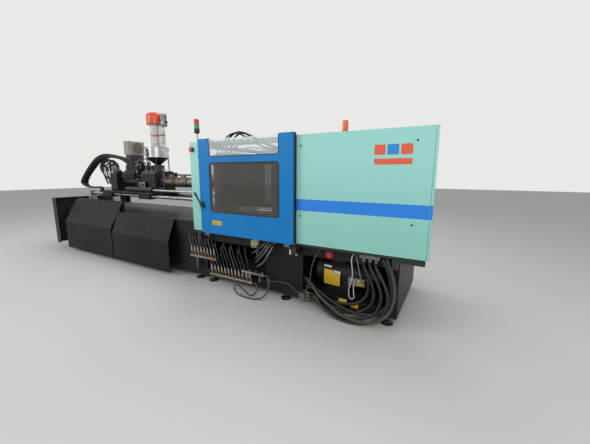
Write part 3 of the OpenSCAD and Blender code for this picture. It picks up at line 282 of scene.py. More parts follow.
def guardPaint(name, look):
    # Mint enamel, darker towards the bottom of the guard as painted shade, with one blue band across the
    # outer face, lighter where it is wiped clean
    material, tree, shader, place = newFinish(name)
    parts = addNode(tree, "ShaderNodeSeparateXYZ", {}, {"Vector": place})
    # Painted shade: the mint fades from the base colour at the top to the darker low colour at the bottom
    height = addNode(tree, "ShaderNodeMapRange", {"From Min": 0.76, "From Max": 1.6},
                     {"Value": parts.outputs["Z"]})
    mintWithPaintedShade = addNode(tree, "ShaderNodeMix", {"data_type": "RGBA", 6: paint(look["low"]),
                                           7: paint(look["base"])}, {0: height.outputs[0]})
    smear = addNode(tree, "ShaderNodeTexNoise", {"Scale": cells(588.2), "Detail": 6.0, "Roughness": 0.62},
                    {"Vector": place})
    wiped = addNode(tree, "ShaderNodeMapRange", {"From Min": 0.5, "From Max": 0.8, "To Max": 0.35},
                    {"Value": smear.outputs["Fac"]})
    clean = addNode(tree, "ShaderNodeMix", {"data_type": "RGBA", 7: paint(look["wiped"])},
                    {0: wiped.outputs[0], 6: mintWithPaintedShade.outputs[2]})
    above = addNode(tree, "ShaderNodeMath", {"operation": "GREATER_THAN", 1: look["bandLow"]},
                    {0: parts.outputs["Z"]})
    below = addNode(tree, "ShaderNodeMath", {"operation": "LESS_THAN", 1: look["bandHigh"]},
                    {0: parts.outputs["Z"]})
    outer = addNode(tree, "ShaderNodeMath", {"operation": "LESS_THAN", 1: look["face"]},
                    {0: parts.outputs["Y"]})
    both = addNode(tree, "ShaderNodeMath", {"operation": "MULTIPLY"},
                   {0: above.outputs[0], 1: below.outputs[0]})
    clamp = addNode(tree, "ShaderNodeMath", {"operation": "GREATER_THAN", 1: look["start"]},
                    {0: parts.outputs["X"]})
    side = addNode(tree, "ShaderNodeMath", {"operation": "MULTIPLY"},
                   {0: outer.outputs[0], 1: clamp.outputs[0]})
    band = addNode(tree, "ShaderNodeMath", {"operation": "MULTIPLY"},
                   {0: both.outputs[0], 1: side.outputs[0]})
    color = addNode(tree, "ShaderNodeMix", {"data_type": "RGBA", 7: paint(look["band"])},
                    {0: band.outputs[0], 6: clean.outputs[2]})
    tree.links.new(color.outputs[2], shader.inputs["Base Color"])
    rough = addNode(tree, "ShaderNodeMapRange", {"To Min": 0.3, "To Max": 0.5},
                    {"Value": smear.outputs["Fac"]})
    tree.links.new(rough.outputs[0], shader.inputs["Roughness"])
    shader.inputs["Coat Weight"].default_value = 0.15
    peel = addNode(tree, "ShaderNodeTexNoise", {"Scale": cells(5.0), "Detail": 2.0}, {"Vector": place})
    bump = addNode(tree, "ShaderNodeBump", {"Strength": 0.04, "Distance": 0.001},
                   {"Height": peel.outputs["Fac"]})
    tree.links.new(bump.outputs[0], shader.inputs["Normal"])
    return material


finishes = {
    # enamelled steelwork of the body and the guards
    "frame_black": sprayedPaint("oilyBlackEnamel", {
        "base": "#0d0e10", "shade": "#08080a", "rough": 0.42, "shine": 0.3, "dust": 0.14,
        "dustColor": "#3b3630"}),
    "cover_charcoal": sprayedPaint("charcoalEnamel", {
        "base": "#141617", "shade": "#0e0f10", "rough": 0.52, "shine": 0.22, "dust": 0.24,
        "dustColor": "#4d4a45"}),
    "tail_brown": sprayedPaint("dustyEnamel", {
        "base": "#211f1b", "shade": "#161512", "rough": 0.5, "dust": 0.3, "dustColor": "#47423a"}),
    # the guard's low colour is painted shade towards the bottom of the guard
    "guard_mint": guardPaint("mintEnamel", {
        "base": "#99d8cf", "low": "#88c6bb", "wiped": "#a6dfd8", "band": "#1c80df", "bandLow": 1.12,
        "bandHigh": 1.24, "face": -0.7495, "start": 1.5}),
    "gate_blue": sprayedPaint("blueGlossEnamel", {
        "base": "#007ac2", "shade": "#0072b4", "rough": 0.42, "coat": 0.06, "shine": 0.25, "dust": 0.16,
        "dustColor": "#5c93b8", "bump": 0.03}),
    # the gate's panes
    "window_tint": glazing("tintedGlazing", {"base": "#5e5751", "rough": 0.06, "alpha": 0.44}),
    "pane_clear": glazing("clearGlazing", {"base": "#dfe6ea", "rough": 0.08, "alpha": 0.34}),
    # clamp unit, rods and small dark parts
    "platen_grey": sprayedPaint("platenEnamel", {"base": "#4a5a62", "shade": "#33393d", "rough": 0.45}),
    "chrome_rod": workedSteel("hardChrome", {
        "base": "#d9dce0", "shade": "#a9abad", "rough": 0.14, "bump": 0.01}),
    "ground_steel": workedSteel("groundSteel", {"base": "#b9bbbc", "shade": "#77736d", "rough": 0.24}),
    "dark_steel": workedSteel("oiledSteel", {"base": "#6d7074", "shade": "#3e3c39", "rough": 0.36}),
    "rail_steel": workedSteel("zincPlate", {"base": "#8f9498", "shade": "#6a6b6b", "rough": 0.34}),
    "cylinder_black": sprayedPaint("cylinderEnamel", {
        "base": "#15181b", "shade": "#0d0f11", "rough": 0.34, "shine": 0.35}),
    "post_black": sprayedPaint("postEnamel", {"base": "#24272a", "shade": "#17191b", "rough": 0.42}),
    "knob_black": mouldedPart("blackMoulding", {"base": "#0e0f10", "shade": "#1c1d1f", "rough": 0.38}),
    # tower, beacon and controls
    "post_white": sprayedPaint("whiteEnamel", {
        "base": "#d6d5cf", "shade": "#b7b4aa", "rough": 0.4, "dust": 0.2}),
    "lens_red": mouldedPart("redLens", {
        "base": "#d3262f", "shade": "#c11f29", "rough": 0.16, "glow": 0.3, "coat": 0.4}),
    "lens_green": mouldedPart("greenLens", {
        "base": "#1fa862", "shade": "#188a50", "rough": 0.16, "glow": 0.3, "coat": 0.4}),
    "beacon_orange": mouldedPart("amberLens", {
        "base": "#f07434", "shade": "#e35a22", "rough": 0.18, "glow": 0.4, "coat": 0.4}),
    "stop_yellow": mouldedPart("stopCollar", {"base": "#26272a", "shade": "#1a1b1d", "rough": 0.4}),
    "stop_red": mouldedPart("stopButton", {
        "base": "#c8303a", "shade": "#b3242f", "rough": 0.3, "coat": 0.2}),
    # injection unit
    "saddle_black": sprayedPaint("castingEnamel", {
        "base": "#15171a", "shade": "#0c0d0f", "rough": 0.42, "shine": 0.3, "peel": 11.11, "bump": 0.12}),
    "barrel_steel": workedSteel("heatedSteel", {"base": "#7d6c5f", "shade": "#4c423b", "rough": 0.36}),
    "band_steel": workedSteel("heaterSheet", {"base": "#8d8478", "shade": "#5d5247", "rough": 0.36}),
    "screw_steel": workedSteel("nitridedSteel", {"base": "#b9bdc2", "shade": "#8b8d90", "rough": 0.25}),
    "motor_black": sprayedPaint("motorEnamel", {
        "base": "#16181c", "shade": "#0d0e11", "rough": 0.4, "shine": 0.3, "dust": 0.16}),
    # hopper and loader
    "hopper_steel": workedSteel("spunStainless", {
        "base": "#c9ccce", "shade": "#9a9b99", "rough": 0.22, "grain": (25.0, 25.0, 1.923), "bump": 0.03,
        "below": 1.77, "low": "#4a4743"}),
    "loader_plastic": glazing("loaderGlass", {"base": "#dfe5e8", "rough": 0.06, "alpha": 0.5}),
    "cap_orange": sprayedPaint("orangeEnamel", {
        "base": "#e4502a", "shade": "#c9421f", "rough": 0.3, "coat": 0.3, "dust": 0.25}),
    "motor_grey": workedSteel("castAluminium", {
        "base": "#8f9498", "shade": "#6d7073", "rough": 0.42, "grain": (5.556, 5.556, 5.556)}),
    # electrics, water, oil and feet
    "box_grey": sprayedPaint("greyEnamel", {"base": "#a19e92", "shade": "#87847a", "rough": 0.44}),
    "manifold_steel": workedSteel("galvanisedPipe", {
        "base": "#7b7771", "shade": "#4d4740", "rough": 0.44, "metal": 0.8}),
    "hose_black": mouldedPart("oilHoseRubber", {
        "base": "#0d0e0f", "shade": "#161718", "rough": 0.44, "wear": 16.67}),
    "hose_grey": mouldedPart("greyHoseRubber", {
        "base": "#4b4c4d", "shade": "#38393a", "rough": 0.5, "wear": 16.67}),
    "foot_steel": workedSteel("footSteel", {"base": "#4c4c4e", "shade": "#2f2f30", "rough": 0.4}),
}

for row in frame["record"]["subparts"]:
    mesh = cadNodes[row["node"]].data
    mesh.materials.clear()
    mesh.materials.append(finishes[row["material_slot"]])

print("modelling tools")
toFront = (0, -1, 0)  # the operator's side
toTail = (-1, 0, 0)
toClamp = (1, 0, 0)
toSky = (0, 0, 1)


def lift(height):
    # Step straight up
    return Vector((0, 0, height))


def turnTo(axis):
    # Matrix that lays a form's own Z along the given axis
    return Vector(axis).to_track_quat("Z", "Y").to_matrix().to_4x4()


def bevelEdges(form, edges, width, rounds=2):
    if width:
        bmesh.ops.bevel(form, geom=edges, offset=width, offset_type="OFFSET", segments=rounds, profile=0.5,
                        affect="EDGES", clamp_overlap=True, material=-1)


def block(low, high, bevel=0.002, rounds=2):
    # Box between two corners with rounded edges
    form = bmesh.new()
    bmesh.ops.create_cube(form, size=1)
    size = Vector(high) - Vector(low)
    bmesh.ops.scale(form, vec=size, verts=form.verts)
    bmesh.ops.translate(form, vec=(Vector(low) + Vector(high)) / 2, verts=form.verts)
    bevelEdges(form, form.edges[:], min(bevel, min(size) * 0.45), rounds)
    return form


def lathe(profile, sides=32, place=(0, 0, 0), axis=(0, 0, 1)):
    # Turned form: a profile of (radius, height) pairs spun round an axis
    form = bmesh.new()
    corners = [form.verts.new((radius, 0, height)) for radius, height in profile]
    edges = [form.edges.new(pair) for pair in zip(corners, corners[1:])]
    bmesh.ops.spin(form, geom=corners + edges, cent=(0, 0, 0), axis=(0, 0, 1), dvec=(0, 0, 0),
                   angle=math.tau, steps=sides, use_merge=True, use_duplicate=False)
    bmesh.ops.remove_doubles(form, verts=form.verts, dist=0.00001)
    bmesh.ops.transform(form, matrix=Matrix.Translation(place) @ turnTo(axis), verts=form.verts)
    return form


def rod(start, end, radius, bevel=0.001, sides=24):
    # Round bar between two points with broken edges
    length = (Vector(end) - Vector(start)).length
    edge = min(bevel, radius * 0.4, length * 0.4)
    profile = [(0, 0), (radius - edge, 0), (radius, edge), (radius, length - edge), (radius - edge, length),
               (0, length)]
    return lathe(profile, sides, start, Vector(end) - Vector(start))


def nut(start, end, radius, bevel=0.001):
    # Hexagon between two points
    return rod(start, end, radius, bevel, 6)


def screwHead(place, axis, radius=0.008):
    # Socket cap with its hexagon hole
    height, socket = radius * 0.9, radius * 0.5
    profile = [(0, height * 0.35), (socket, height * 0.35), (socket, height), (radius * 0.85, height),
               (radius, height * 0.82), (radius, 0), (0, 0)]
    return lathe(profile, 18, place, axis)


def panelPlate(outline, y, depth, bevel=0.001):
    # Plate from an outline of (x, z) pairs, its face at y and its back towards +Y
    form = bmesh.new()
    face = form.faces.new([form.verts.new((x, y, z)) for x, z in outline])
    grown = bmesh.ops.extrude_face_region(form, geom=[face])["geom"]
    bmesh.ops.translate(form, vec=(0, depth, 0),
                        verts=[v for v in grown if isinstance(v, bmesh.types.BMVert)])
    bmesh.ops.recalc_face_normals(form, faces=form.faces)
    bevelEdges(form, [e for e in form.edges if e.calc_face_angle(0) > 0.7], bevel)
    return form


def roundOutline(x0, x1, z0, z1, radius, steps=6):
    # Rectangle with round corners as (x, z) pairs
    points = []
    for cx, cz, start in ((x1 - radius, z1 - radius, 0), (x0 + radius, z1 - radius, 90),
                          (x0 + radius, z0 + radius, 180), (x1 - radius, z0 + radius, 270)):
        for step in range(steps + 1):
            angle = math.radians(start + 90 * step / steps)
            points.append((cx + radius * math.cos(angle), cz + radius * math.sin(angle)))
    return points


def pour(part, form, index=0):
    # Adds a form to a piece with its material index
    bmesh.ops.recalc_face_normals(form, faces=form.faces)
    for face in form.faces:
        face.material_index = index
    copy = bpy.data.meshes.new("poured")
    form.to_mesh(copy)
    form.free()
    part.from_mesh(copy)
    bpy.data.meshes.remove(copy)


def finishOf(entry):
    # Record slot and material of an entry, which is a slot or a (slot, finish name) pair
    return (entry, finishes[entry]) if isinstance(entry, str) else (entry[0], extras[entry[1]])


def makePiece(name, body, slots, forms, replaced=(), angle=35):
    # Piece from (form, index) pairs or plain forms, where the index picks one of its slots
    part = bmesh.new()
    for entry in forms:
        form, index = entry if isinstance(entry, tuple) else (entry, 0)
        pour(part, form, index)
    mesh = bpy.data.meshes.new(name)
    part.to_mesh(mesh)
    part.free()
    entries = [finishOf(entry) for entry in ([slots] if isinstance(slots, str) else slots)]
    for slotName, material in entries:
        mesh.materials.append(material)
    mesh.polygons.foreach_set("use_smooth", [True] * len(mesh.polygons))
    mesh.set_sharp_from_angle(angle=math.radians(angle))
    piece = bpy.data.objects.new(name, mesh)
    bpy.context.scene.collection.objects.link(piece)
    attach(piece, body)
    if replaced:
        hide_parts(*replaced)


def drawCurve(name, points, radius, material, rounds, closed=False):
    # Round tube along points, as a curve
    data = bpy.data.curves.new(name, "CURVE")
    data.dimensions = "3D"
    data.bevel_depth = radius
    data.bevel_resolution = rounds
    data.use_fill_caps = not closed
    spline = data.splines.new("POLY")
    spline.points.add(len(points) - 1)
    for point, place in zip(spline.points, points):
        point.co = (*place, 1)
    spline.use_cyclic_u = closed
    spline.use_smooth = True
    data.materials.append(material)
    tube = bpy.data.objects.new(name, data)
    bpy.context.scene.collection.objects.link(tube)
    return tube


def layBead(name, points, radius, body, entry, closed=False):
    # Rubber bead or wire that is fixed along its length
    slotName, material = finishOf(entry)
    bead = drawCurve(name, points, radius, material, 2, closed)
    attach(bead, body)


def smoothRoute(points, steps):
    # Points of one even curve through the given ones
    route = [Vector(p) for p in points]
    ends = [route[0] * 2 - route[1]] + route + [route[-1] * 2 - route[-2]]
    curve = []
    for a, b, c, d in zip(ends, ends[1:], ends[2:], ends[3:]):
        for step in range(steps):
            t = step / steps
            curve.append(0.5 * (2 * b + (c - a) * t + (2 * a - 5 * b + 4 * c - d) * t ** 2
                                + (3 * b - a - 3 * c + d) * t ** 3))
    return curve + [route[-1]]


def ringOf(count, radius, start=0.0):
    # Places on a circle as (across, up) pairs
    turns = [start + math.tau * index / count for index in range(count)]
    return [(radius * math.cos(turn), radius * math.sin(turn)) for turn in turns]


def bend(points, radius, sides=10, steps=5):
    # Rigid tube through points, as a form
    route = smoothRoute(points, steps)
    form = bmesh.new()
    rings = []
    for index, place in enumerate(route):
        turn = turnTo(route[min(index + 1, len(route) - 1)] - route[max(index - 1, 0)])
        ring = [place + turn @ Vector((radius * c, radius * s, 0)) for c, s in ringOf(sides, 1.0)]
        rings.append([form.verts.new(corner) for corner in ring])
    for first, second in zip(rings, rings[1:]):
        for index in range(sides):
            after = (index + 1) % sides
            form.faces.new((first[index], first[after], second[after], second[index]))
    form.faces.new(rings[0][::-1])
    form.faces.new(rings[-1])
    bmesh.ops.recalc_face_normals(form, faces=form.faces)
    return form


def layHose(name, points, diameter, body, slotName, replaced=(), finish=None):
    # Hose or cable as one even curve
    route = smoothRoute(points, 4)
    hose = drawCurve(name, route, diameter / 2, finish or finishes[slotName], 3)
    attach(hose, body)
    if replaced:
        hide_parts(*replaced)


extras = {
    "sealRubber": mouldedPart("sealRubber", {"base": "#101112", "shade": "#1b1c1d", "rough": 0.55}),
    "labelYellow": mouldedPart("yellowPlate", {
        "base": "#d9b52a", "shade": "#b3901f", "rough": 0.42, "wear": 33.33}),
    "labelWhite": mouldedPart("whitePlate", {
        "base": "#d9d7d0", "shade": "#b5b1a8", "rough": 0.45, "wear": 38.46}),
    "labelPink": mouldedPart("pinkBand", {"base": "#c46a98", "shade": "#a4557f", "rough": 0.4}),
    "emblemOrange": mouldedPart("orangeFilm", {"base": "#e8674a", "shade": "#dc5b40", "rough": 0.35}),
    "emblemBlue": mouldedPart("blueFilm", {"base": "#2f8fd6", "shade": "#2a83c8", "rough": 0.35}),
    "redPlastic": mouldedPart("redPlastic", {"base": "#b02a2f", "shade": "#8b1f24", "rough": 0.36}),
    "beigePlastic": mouldedPart("beigePlastic", {"base": "#cdb88a", "shade": "#a8946b", "rough": 0.5}),
    "oliveWebbing": mouldedPart("oliveWebbing", {
        "base": "#4f4a3b", "shade": "#3a362b", "rough": 0.8, "grain": 3.846, "bump": 0.3}),
    "tealPlastic": mouldedPart("tealPlastic", {"base": "#24505a", "shade": "#1b3a48", "rough": 0.34}),
    "bluePlastic": mouldedPart("bluePlastic", {"base": "#1d4f86", "shade": "#153a66", "rough": 0.34}),
    "greyPlastic": mouldedPart("greyPlastic", {"base": "#8c8b86", "shade": "#6e6d69", "rough": 0.5}),
    "dialGlass": mouldedPart("dialGlass", {
        "base": "#20262b", "shade": "#161b1f", "rough": 0.08, "coat": 0.6}),
    "brass": workedSteel("tarnishedBrass", {"base": "#86704c", "shade": "#54442f", "rough": 0.42}),
    "copper": workedSteel("copperPipe", {
        "base": "#84654f", "shade": "#574031", "rough": 0.46, "metal": 0.8}),
    "nickel": workedSteel("nickelFitting", {"base": "#9c9c99", "shade": "#6f6d69", "rough": 0.32}),
    "wetRubber": mouldedPart("wrappedHose", {
        "base": "#1c1d21", "shade": "#3c3c44", "rough": 0.12, "coat": 0.8, "wear": 25.0}),
    "boxBlack": sprayedPaint("darkBoxEnamel", {
        "base": "#2a282c", "shade": "#1c1b1e", "rough": 0.4, "dust": 0.3}),
    "discGrey": sprayedPaint("discEnamel", {"base": "#6a655a", "shade": "#57534a", "rough": 0.5}),
}

print("gate and guards")
gateLow, gateHigh = (Vector(corner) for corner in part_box("front_gate_panel"))
windowSet = {"side": 0.178, "low": 1.035, "high": 1.621, "corner": 0.035, "paneLow": 1.700,
             "paneHigh": 2.2, "bead": 0.0052}


plateSet = {"left": 1.003, "right": 1.163, "low": 0.874, "high": 0.926, "corner": 0.006,
            "rivetX": (1.010, 1.156), "rivetZ": 0.900, "rivet": 0.0035}


def dressGate():
    # Rubber beads round both panes, the edge seal and a blank plate on two rivets
    face = gateLow.y
    seal = ("hose_black", "sealRubber")
    x0, x1 = gateLow.x + windowSet["side"], gateHigh.x - windowSet["side"]
    ring = roundOutline(x0, x1, windowSet["low"], windowSet["high"], windowSet["corner"])
    layBead("windowSeal", [(x, face, z) for x, z in ring], windowSet["bead"], "front_gate", seal, True)
    paneRing = roundOutline(x0, x1, windowSet["paneLow"], windowSet["paneHigh"], windowSet["corner"])
    lower = [p for p in paneRing if p[1] < windowSet["paneLow"] + windowSet["corner"] + 0.001]
    brim = gateHigh.z - 0.004
    path = [(x0, face, brim)] + [(x, face, z) for x, z in lower] + [(x1, face, brim)]
    layBead("paneSeal", path, windowSet["bead"] * 0.8, "front_gate", seal)
    strip = block((gateHigh.x + 0.0001, face + 0.003, gateLow.z + 0.006),
                  (gateHigh.x + 0.0022, face + 0.053, gateHigh.z - 0.004), 0.0008)
    makePiece("gateEdgeSeal", "front_gate", [seal], [strip])
    s = plateSet
    outline = roundOutline(s["left"], s["right"], s["low"], s["high"], s["corner"], 3)
    plate = panelPlate(outline, face - 0.0016, 0.0015, 0.0004)
    makePiece("gatePlate", "front_gate", [("gate_blue", "labelYellow")], [plate])
    rivets = [screwHead((x, face - 0.0014, s["rivetZ"]), toFront, s["rivet"]) for x in s["rivetX"]]
    makePiece("gatePlateRivets", "front_gate", "dark_steel", rivets)


leverSet = {"hub": (0.852, -0.832, 1.114), "lean": 36, "back": -0.058, "reach": 0.184}


def makeLever():
    # Handle turned from one bar, on a boss with a cap screw
    s = leverSet
    hub = Vector(s["hub"])
    lean = math.radians(s["lean"])
    along = Vector((-math.sin(lean), 0, math.cos(lean)))
    back, reach = s["back"], s["reach"]
    arm = lathe([(0, back), (0.010, back + 0.003), (0.015, back + 0.014), (0.0125, 0), (0.0095, 0.06),
                 (0.0105, 0.11), (0.0150, 0.150), (0.0155, 0.168), (0.0115, reach - 0.003), (0, reach)],
                24, hub + Vector((0, -0.005, 0)), along)
    boss = lathe([(0, 0.016), (0.020, 0.015), (0.026, 0.009), (0.030, 0.002), (0.034, -0.010),
                  (0.034, -0.0215), (0, -0.0215)], 32, hub, toFront)
    cap = screwHead(hub + Vector((0, -0.015, 0)), toFront, 0.009)
    shank = rod(hub + Vector((0, 0.02, 0)), hub + Vector((0, 0.036, 0)), 0.0098)
    makePiece("gateLever", "gate_lever", ["knob_black", "dark_steel"], [arm, boss, (cap, 1), (shank, 1)],
              ("gate_handle",))


guardSet = {"skin": -0.750, "screwX": (2.210, 3.295), "screwZ": (1.065, 1.775), "screw": 0.0085,
            "coverX": 0.640, "coverZ": (0.800, 1.330), "coverScrew": 0.0065,
            "tileX": (2.945, 3.041), "tileZ": (1.664, 1.752), "tileStep": 0.112, "barX": (2.945, 3.265),
            "barZ": (1.580, 1.632), "corner": 0.012, "film": 0.0005}


def dressGuards():
    # Screws at the corners of the guards, and blank tiles of thin film
    s = guardSet
    skin, film = s["skin"], s["film"]
    heads = [screwHead((x, skin, z), toFront, s["screw"]) for x in s["screwX"] for z in s["screwZ"]]
    makePiece("guardScrews", "machine", "post_black", heads)
    tiles = []
    for index in range(3):
        x0, x1 = (x + s["tileStep"] * index for x in s["tileX"])
        tile = panelPlate(roundOutline(x0, x1, *s["tileZ"], s["corner"], 5), skin - 0.0006, film, 0)
        tiles.append((tile, index % 2))
    bar = panelPlate(roundOutline(*s["barX"], *s["barZ"], s["corner"], 5), skin - 0.0006, film, 0)
    tiles.append((bar, 0))
    makePiece("guardStripes", "machine", [("guard_mint", "emblemOrange"), ("guard_mint", "emblemBlue")],
              tiles)
    coverScrews = [screwHead((s["coverX"], skin, z), toFront, s["coverScrew"]) for z in s["coverZ"]]
    makePiece("coverScrews", "machine", "post_black", coverScrews)


stopSet = {"brim": 0.010, "x": 0.649, "z": 1.794, "skin": -0.750}


def makeStop():
    # Ring and neck that stay, and the mushroom button that is pressed
    place = (stopSet["x"], stopSet["skin"], stopSet["z"])
    low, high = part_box("e_stop_button")
    bodyLow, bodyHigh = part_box("e_stop_body")
    wide = (high[0] - low[0]) / 2 + stopSet["brim"]
    collar = (bodyHigh[0] - bodyLow[0]) / 2
    ring = lathe([(0.011, 0.004), (0.011, 0.013), (collar - 0.006, 0.014), (collar - 0.001, 0.010),
                  (collar, 0.004), (collar, 0), (0.011, 0), (0.011, 0.004)], 40, place, toFront)
    neck = rod((place[0], place[1] - 0.001, place[2]), (place[0], place[1] + 0.023, place[2]), 0.0104)
    makePiece("stopCollar", "machine", "stop_yellow", [ring, neck], ("e_stop_body",))
    dome = lathe([(0, 0.038), (wide * 0.45, 0.0375), (wide * 0.8, 0.0345), (wide * 0.97, 0.030),
                  (wide, 0.0265), (wide * 0.95, 0.0245), (wide * 0.55, 0.0235), (0.0062, 0.0225),
                  (0.0058, 0.0), (0, -0.006)], 40, place, toFront)
    makePiece("stopMushroom", "e_stop", "stop_red", [dome], ("e_stop_button",))


knobSet = {"base": 0.0163, "grip": 0.0228, "stem": 0.0039, "wingX": 0.014, "wingY": 0.003, "wingZ": 0.0125}


def makeKnob():
    # Base disc, turned grip and pointer wing on a steel stem
    s = knobSet
    low, high = (Vector(corner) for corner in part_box("selector_knob"))
    cy, cz = (low.y + high.y) / 2, (low.z + high.z) / 2
    wide = (high.z - low.z) / 2
    base = lathe([(0, 0), (wide * 0.99, 0), (wide, 0.002), (wide * 0.97, 0.006), (0, 0.0065)], 32,
                 (high.x - s["base"], cy, cz), toTail)
    grip = lathe([(0.013, 0), (0.0135, 0.004), (0.0120, 0.021), (0.0100, 0.023), (0, 0.0235)], 24,
                 (high.x - s["grip"], cy, cz), toTail)
    wing = block((low.x + 0.0002, cy - s["wingY"], cz - s["wingZ"]),
                 (low.x + s["wingX"], cy + s["wingY"], cz + s["wingZ"]), 0.0015)
    stem = rod((high.x - 0.017, cy, cz), (high.x, cy, cz), s["stem"])
    makePiece("selectorKnob", "selector", ["knob_black", "dark_steel"], [base, grip, wing, (stem, 1)],
              ("selector_knob",))


towerSet = {"ribs": 7, "rib": 0.0012, "topStep": 0.012, "foot": 0.0238, "pole": 0.012, "poleHigh": 0.122,
            "boltRing": 0.017, "bolt": 0.0035}


def ribbedLens(name, node, slotName, cap=False):
    # Lamp glass with rings moulded round it, and a domed top where it is the last one
    rib = towerSet["rib"]
    low, high = (Vector(corner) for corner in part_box(node))
    cx, cy = (low.x + high.x) / 2, (low.y + high.y) / 2
    radius, height = (high.x - low.x) / 2, high.z - low.z
    wall = height - (towerSet["topStep"] if cap else 0.0)
    step = wall / towerSet["ribs"]
    profile = [(0, 0)]
    for index in range(towerSet["ribs"]):
        profile += [(radius - rib, index * step + 0.0005), (radius, (index + 0.5) * step)]
    profile.append((radius - rib, wall - 0.0005))
    if cap:
        profile += [(radius * 0.86, height - 0.004), (radius * 0.55, height - 0.001)]
    profile.append((0, height if cap else wall))
    makePiece(name, "machine", slotName, [lathe(profile, 40, (cx, cy, low.z))], (node,), 50)


def dressTower():
    # Two lamps over a ringed drum on a white pole with three bolts
    ribbedLens("towerGreen", "tower_green_lens", "lens_green")
    ribbedLens("towerRed", "tower_red_lens", "lens_red", True)
    s = towerSet
    low, high = (Vector(corner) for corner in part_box("tower_post"))
    cx, cy = (low.x + high.x) / 2, (low.y + high.y) / 2
    top = high.z
    base = (high.x - low.x) / 2
    foot = lathe([(0, 0), (s["foot"], 0), (s["foot"], 0.006), (0.021, 0.008), (0.0125, 0.010),
                  (s["pole"], 0.012), (s["pole"], s["poleHigh"]), (0, s["poleHigh"])], 32, (cx, cy, low.z))
    drum = lathe([(0, top - 0.058), (base * 0.62, top - 0.058), (base * 0.9, top - 0.052),
                  (base, top - 0.046), (base, top - 0.014), (base * 0.97, top - 0.012),
                  (base * 0.97, top - 0.009), (base, top - 0.007), (base, top), (0, top)], 40, (cx, cy, 0))
    forms = [foot, (drum, 1)]
    for across, along in ((1, 0), (-0.5, 0.87), (-0.5, -0.87)):
        spot = Vector((cx + s["boltRing"] * across, cy + s["boltRing"] * along, low.z))
        forms.append((nut(spot + lift(0.0075), spot + lift(0.0115), s["bolt"]), 2))
    makePiece("towerPole", "machine", ["post_white", "knob_black", "dark_steel"], forms, ("tower_post",))


beaconSet = {"back": 0.032, "dome": 0.029, "rib": 0.0012, "ribs": 9, "ribStep": 0.009, "lensHigh": 0.116,
             "base": 0.032, "baseLow": 0.172, "arm": 0.008}


def dressBeacon():
    # Amber lens with a domed top and rings, its black base, and the arm that holds it
    s = beaconSet
    low, high = (Vector(corner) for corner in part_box("beacon"))
    cx, cy, top, r = (low.x + high.x) / 2, high.y - s["back"], high.z, s["dome"]
    dome = [(0, top)]
    for index in range(1, 7):
        angle = math.radians(15 * index)
        dome.append((r * math.sin(angle), top - r + r * math.cos(angle)))
    wall = [(r - (s["rib"] if index % 2 else 0.0), top - 0.034 - index * s["ribStep"])
            for index in range(s["ribs"])]
    foot = top - s["lensHigh"]
    lens = lathe(dome + wall + [(0.027, foot), (0, foot)], 36, (cx, cy, 0))
    base = lathe([(0, foot - 0.001), (0.031, foot - 0.001), (s["base"], foot - 0.005),
                  (s["base"], top - 0.160), (0.026, top - s["baseLow"]), (0, top - s["baseLow"])], 36,
                 (cx, cy, 0))
    arm = block((low.x, low.y, low.z), (high.x, high.y, low.z + s["arm"]), 0.002)
    makePiece("beaconLamp", "machine", ["beacon_orange", "knob_black", "post_black"],
              [lens, (base, 1), (arm, 2)], ("beacon",), 50)


dressGate()
makeLever()
dressGuards()
makeStop()
makeKnob()
dressTower()
dressBeacon()

print("injection unit")


unitAxis = 1.350  # height of the barrel, the screw and its motor
bandSet = {"count": 5, "gap": 0.034, "outer": 0.085, "strap": 0.0022, "wide": 0.012, "screwAt": 0.006,
           "screwOut": 0.011, "capOut": 0.034, "capHalf": 0.0275, "capScrew": 0.026}


def dressBands():
    # Sheet heater bands: three clamping straps with screws and nuts, and a terminal cap on each
    s = bandSet
    low, high = (Vector(corner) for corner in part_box("heater_bands"))
    inner, outer = s["outer"] + 0.0002, s["outer"] + s["strap"]
    strap = [(inner, 0), (outer, 0.001), (outer, s["wide"] - 0.001), (inner, s["wide"])]
    pitch = (high.x - low.x + s["gap"]) / s["count"]
    top = unitAxis + s["outer"] + s["capOut"]
    forms = []
    for index in range(s["count"]):
        x0 = low.x + index * pitch
        x1 = x0 + pitch - s["gap"]
        mid = (x0 + x1) / 2
        for x in (x0 + 0.022, mid - 0.006, x1 - 0.034):
            screw = Vector((x + s["screwAt"], -s["outer"] - s["screwOut"], unitAxis))
            forms.append((lathe(strap, 40, (x, 0, unitAxis), toClamp), 0))
            forms.append((rod(screw + lift(0.017), screw + lift(0.041), 0.004, 0.0008, 12), 1))
            forms.append((nut(screw + lift(0.035), screw + lift(0.040), 0.0075), 1))
        capLow = (mid - 0.0375, -s["capHalf"], top - 0.004)
        capHigh = (mid + 0.0365, s["capHalf"], top + 0.004)
        forms.append((block(capLow, capHigh, 0.002), 2))
        forms += [(screwHead((mid + dx, 0, top + 0.004), toSky, 0.0042), 1)
                  for dx in (-s["capScrew"], s["capScrew"])]
    makePiece("bandStraps", "carriage", ["band_steel", "dark_steel", ("band_steel", "greyPlastic")], forms)


hopperSet = {"overhang": 0.007, "beadLow": 0.174, "clamps": 3, "clampHigh": 0.012, "clampLow": 0.052,
             "handle": 0.014, "glassHalf": 0.026, "glassLow": 0.150, "glassHigh": 0.040, "seal": 0.0028}


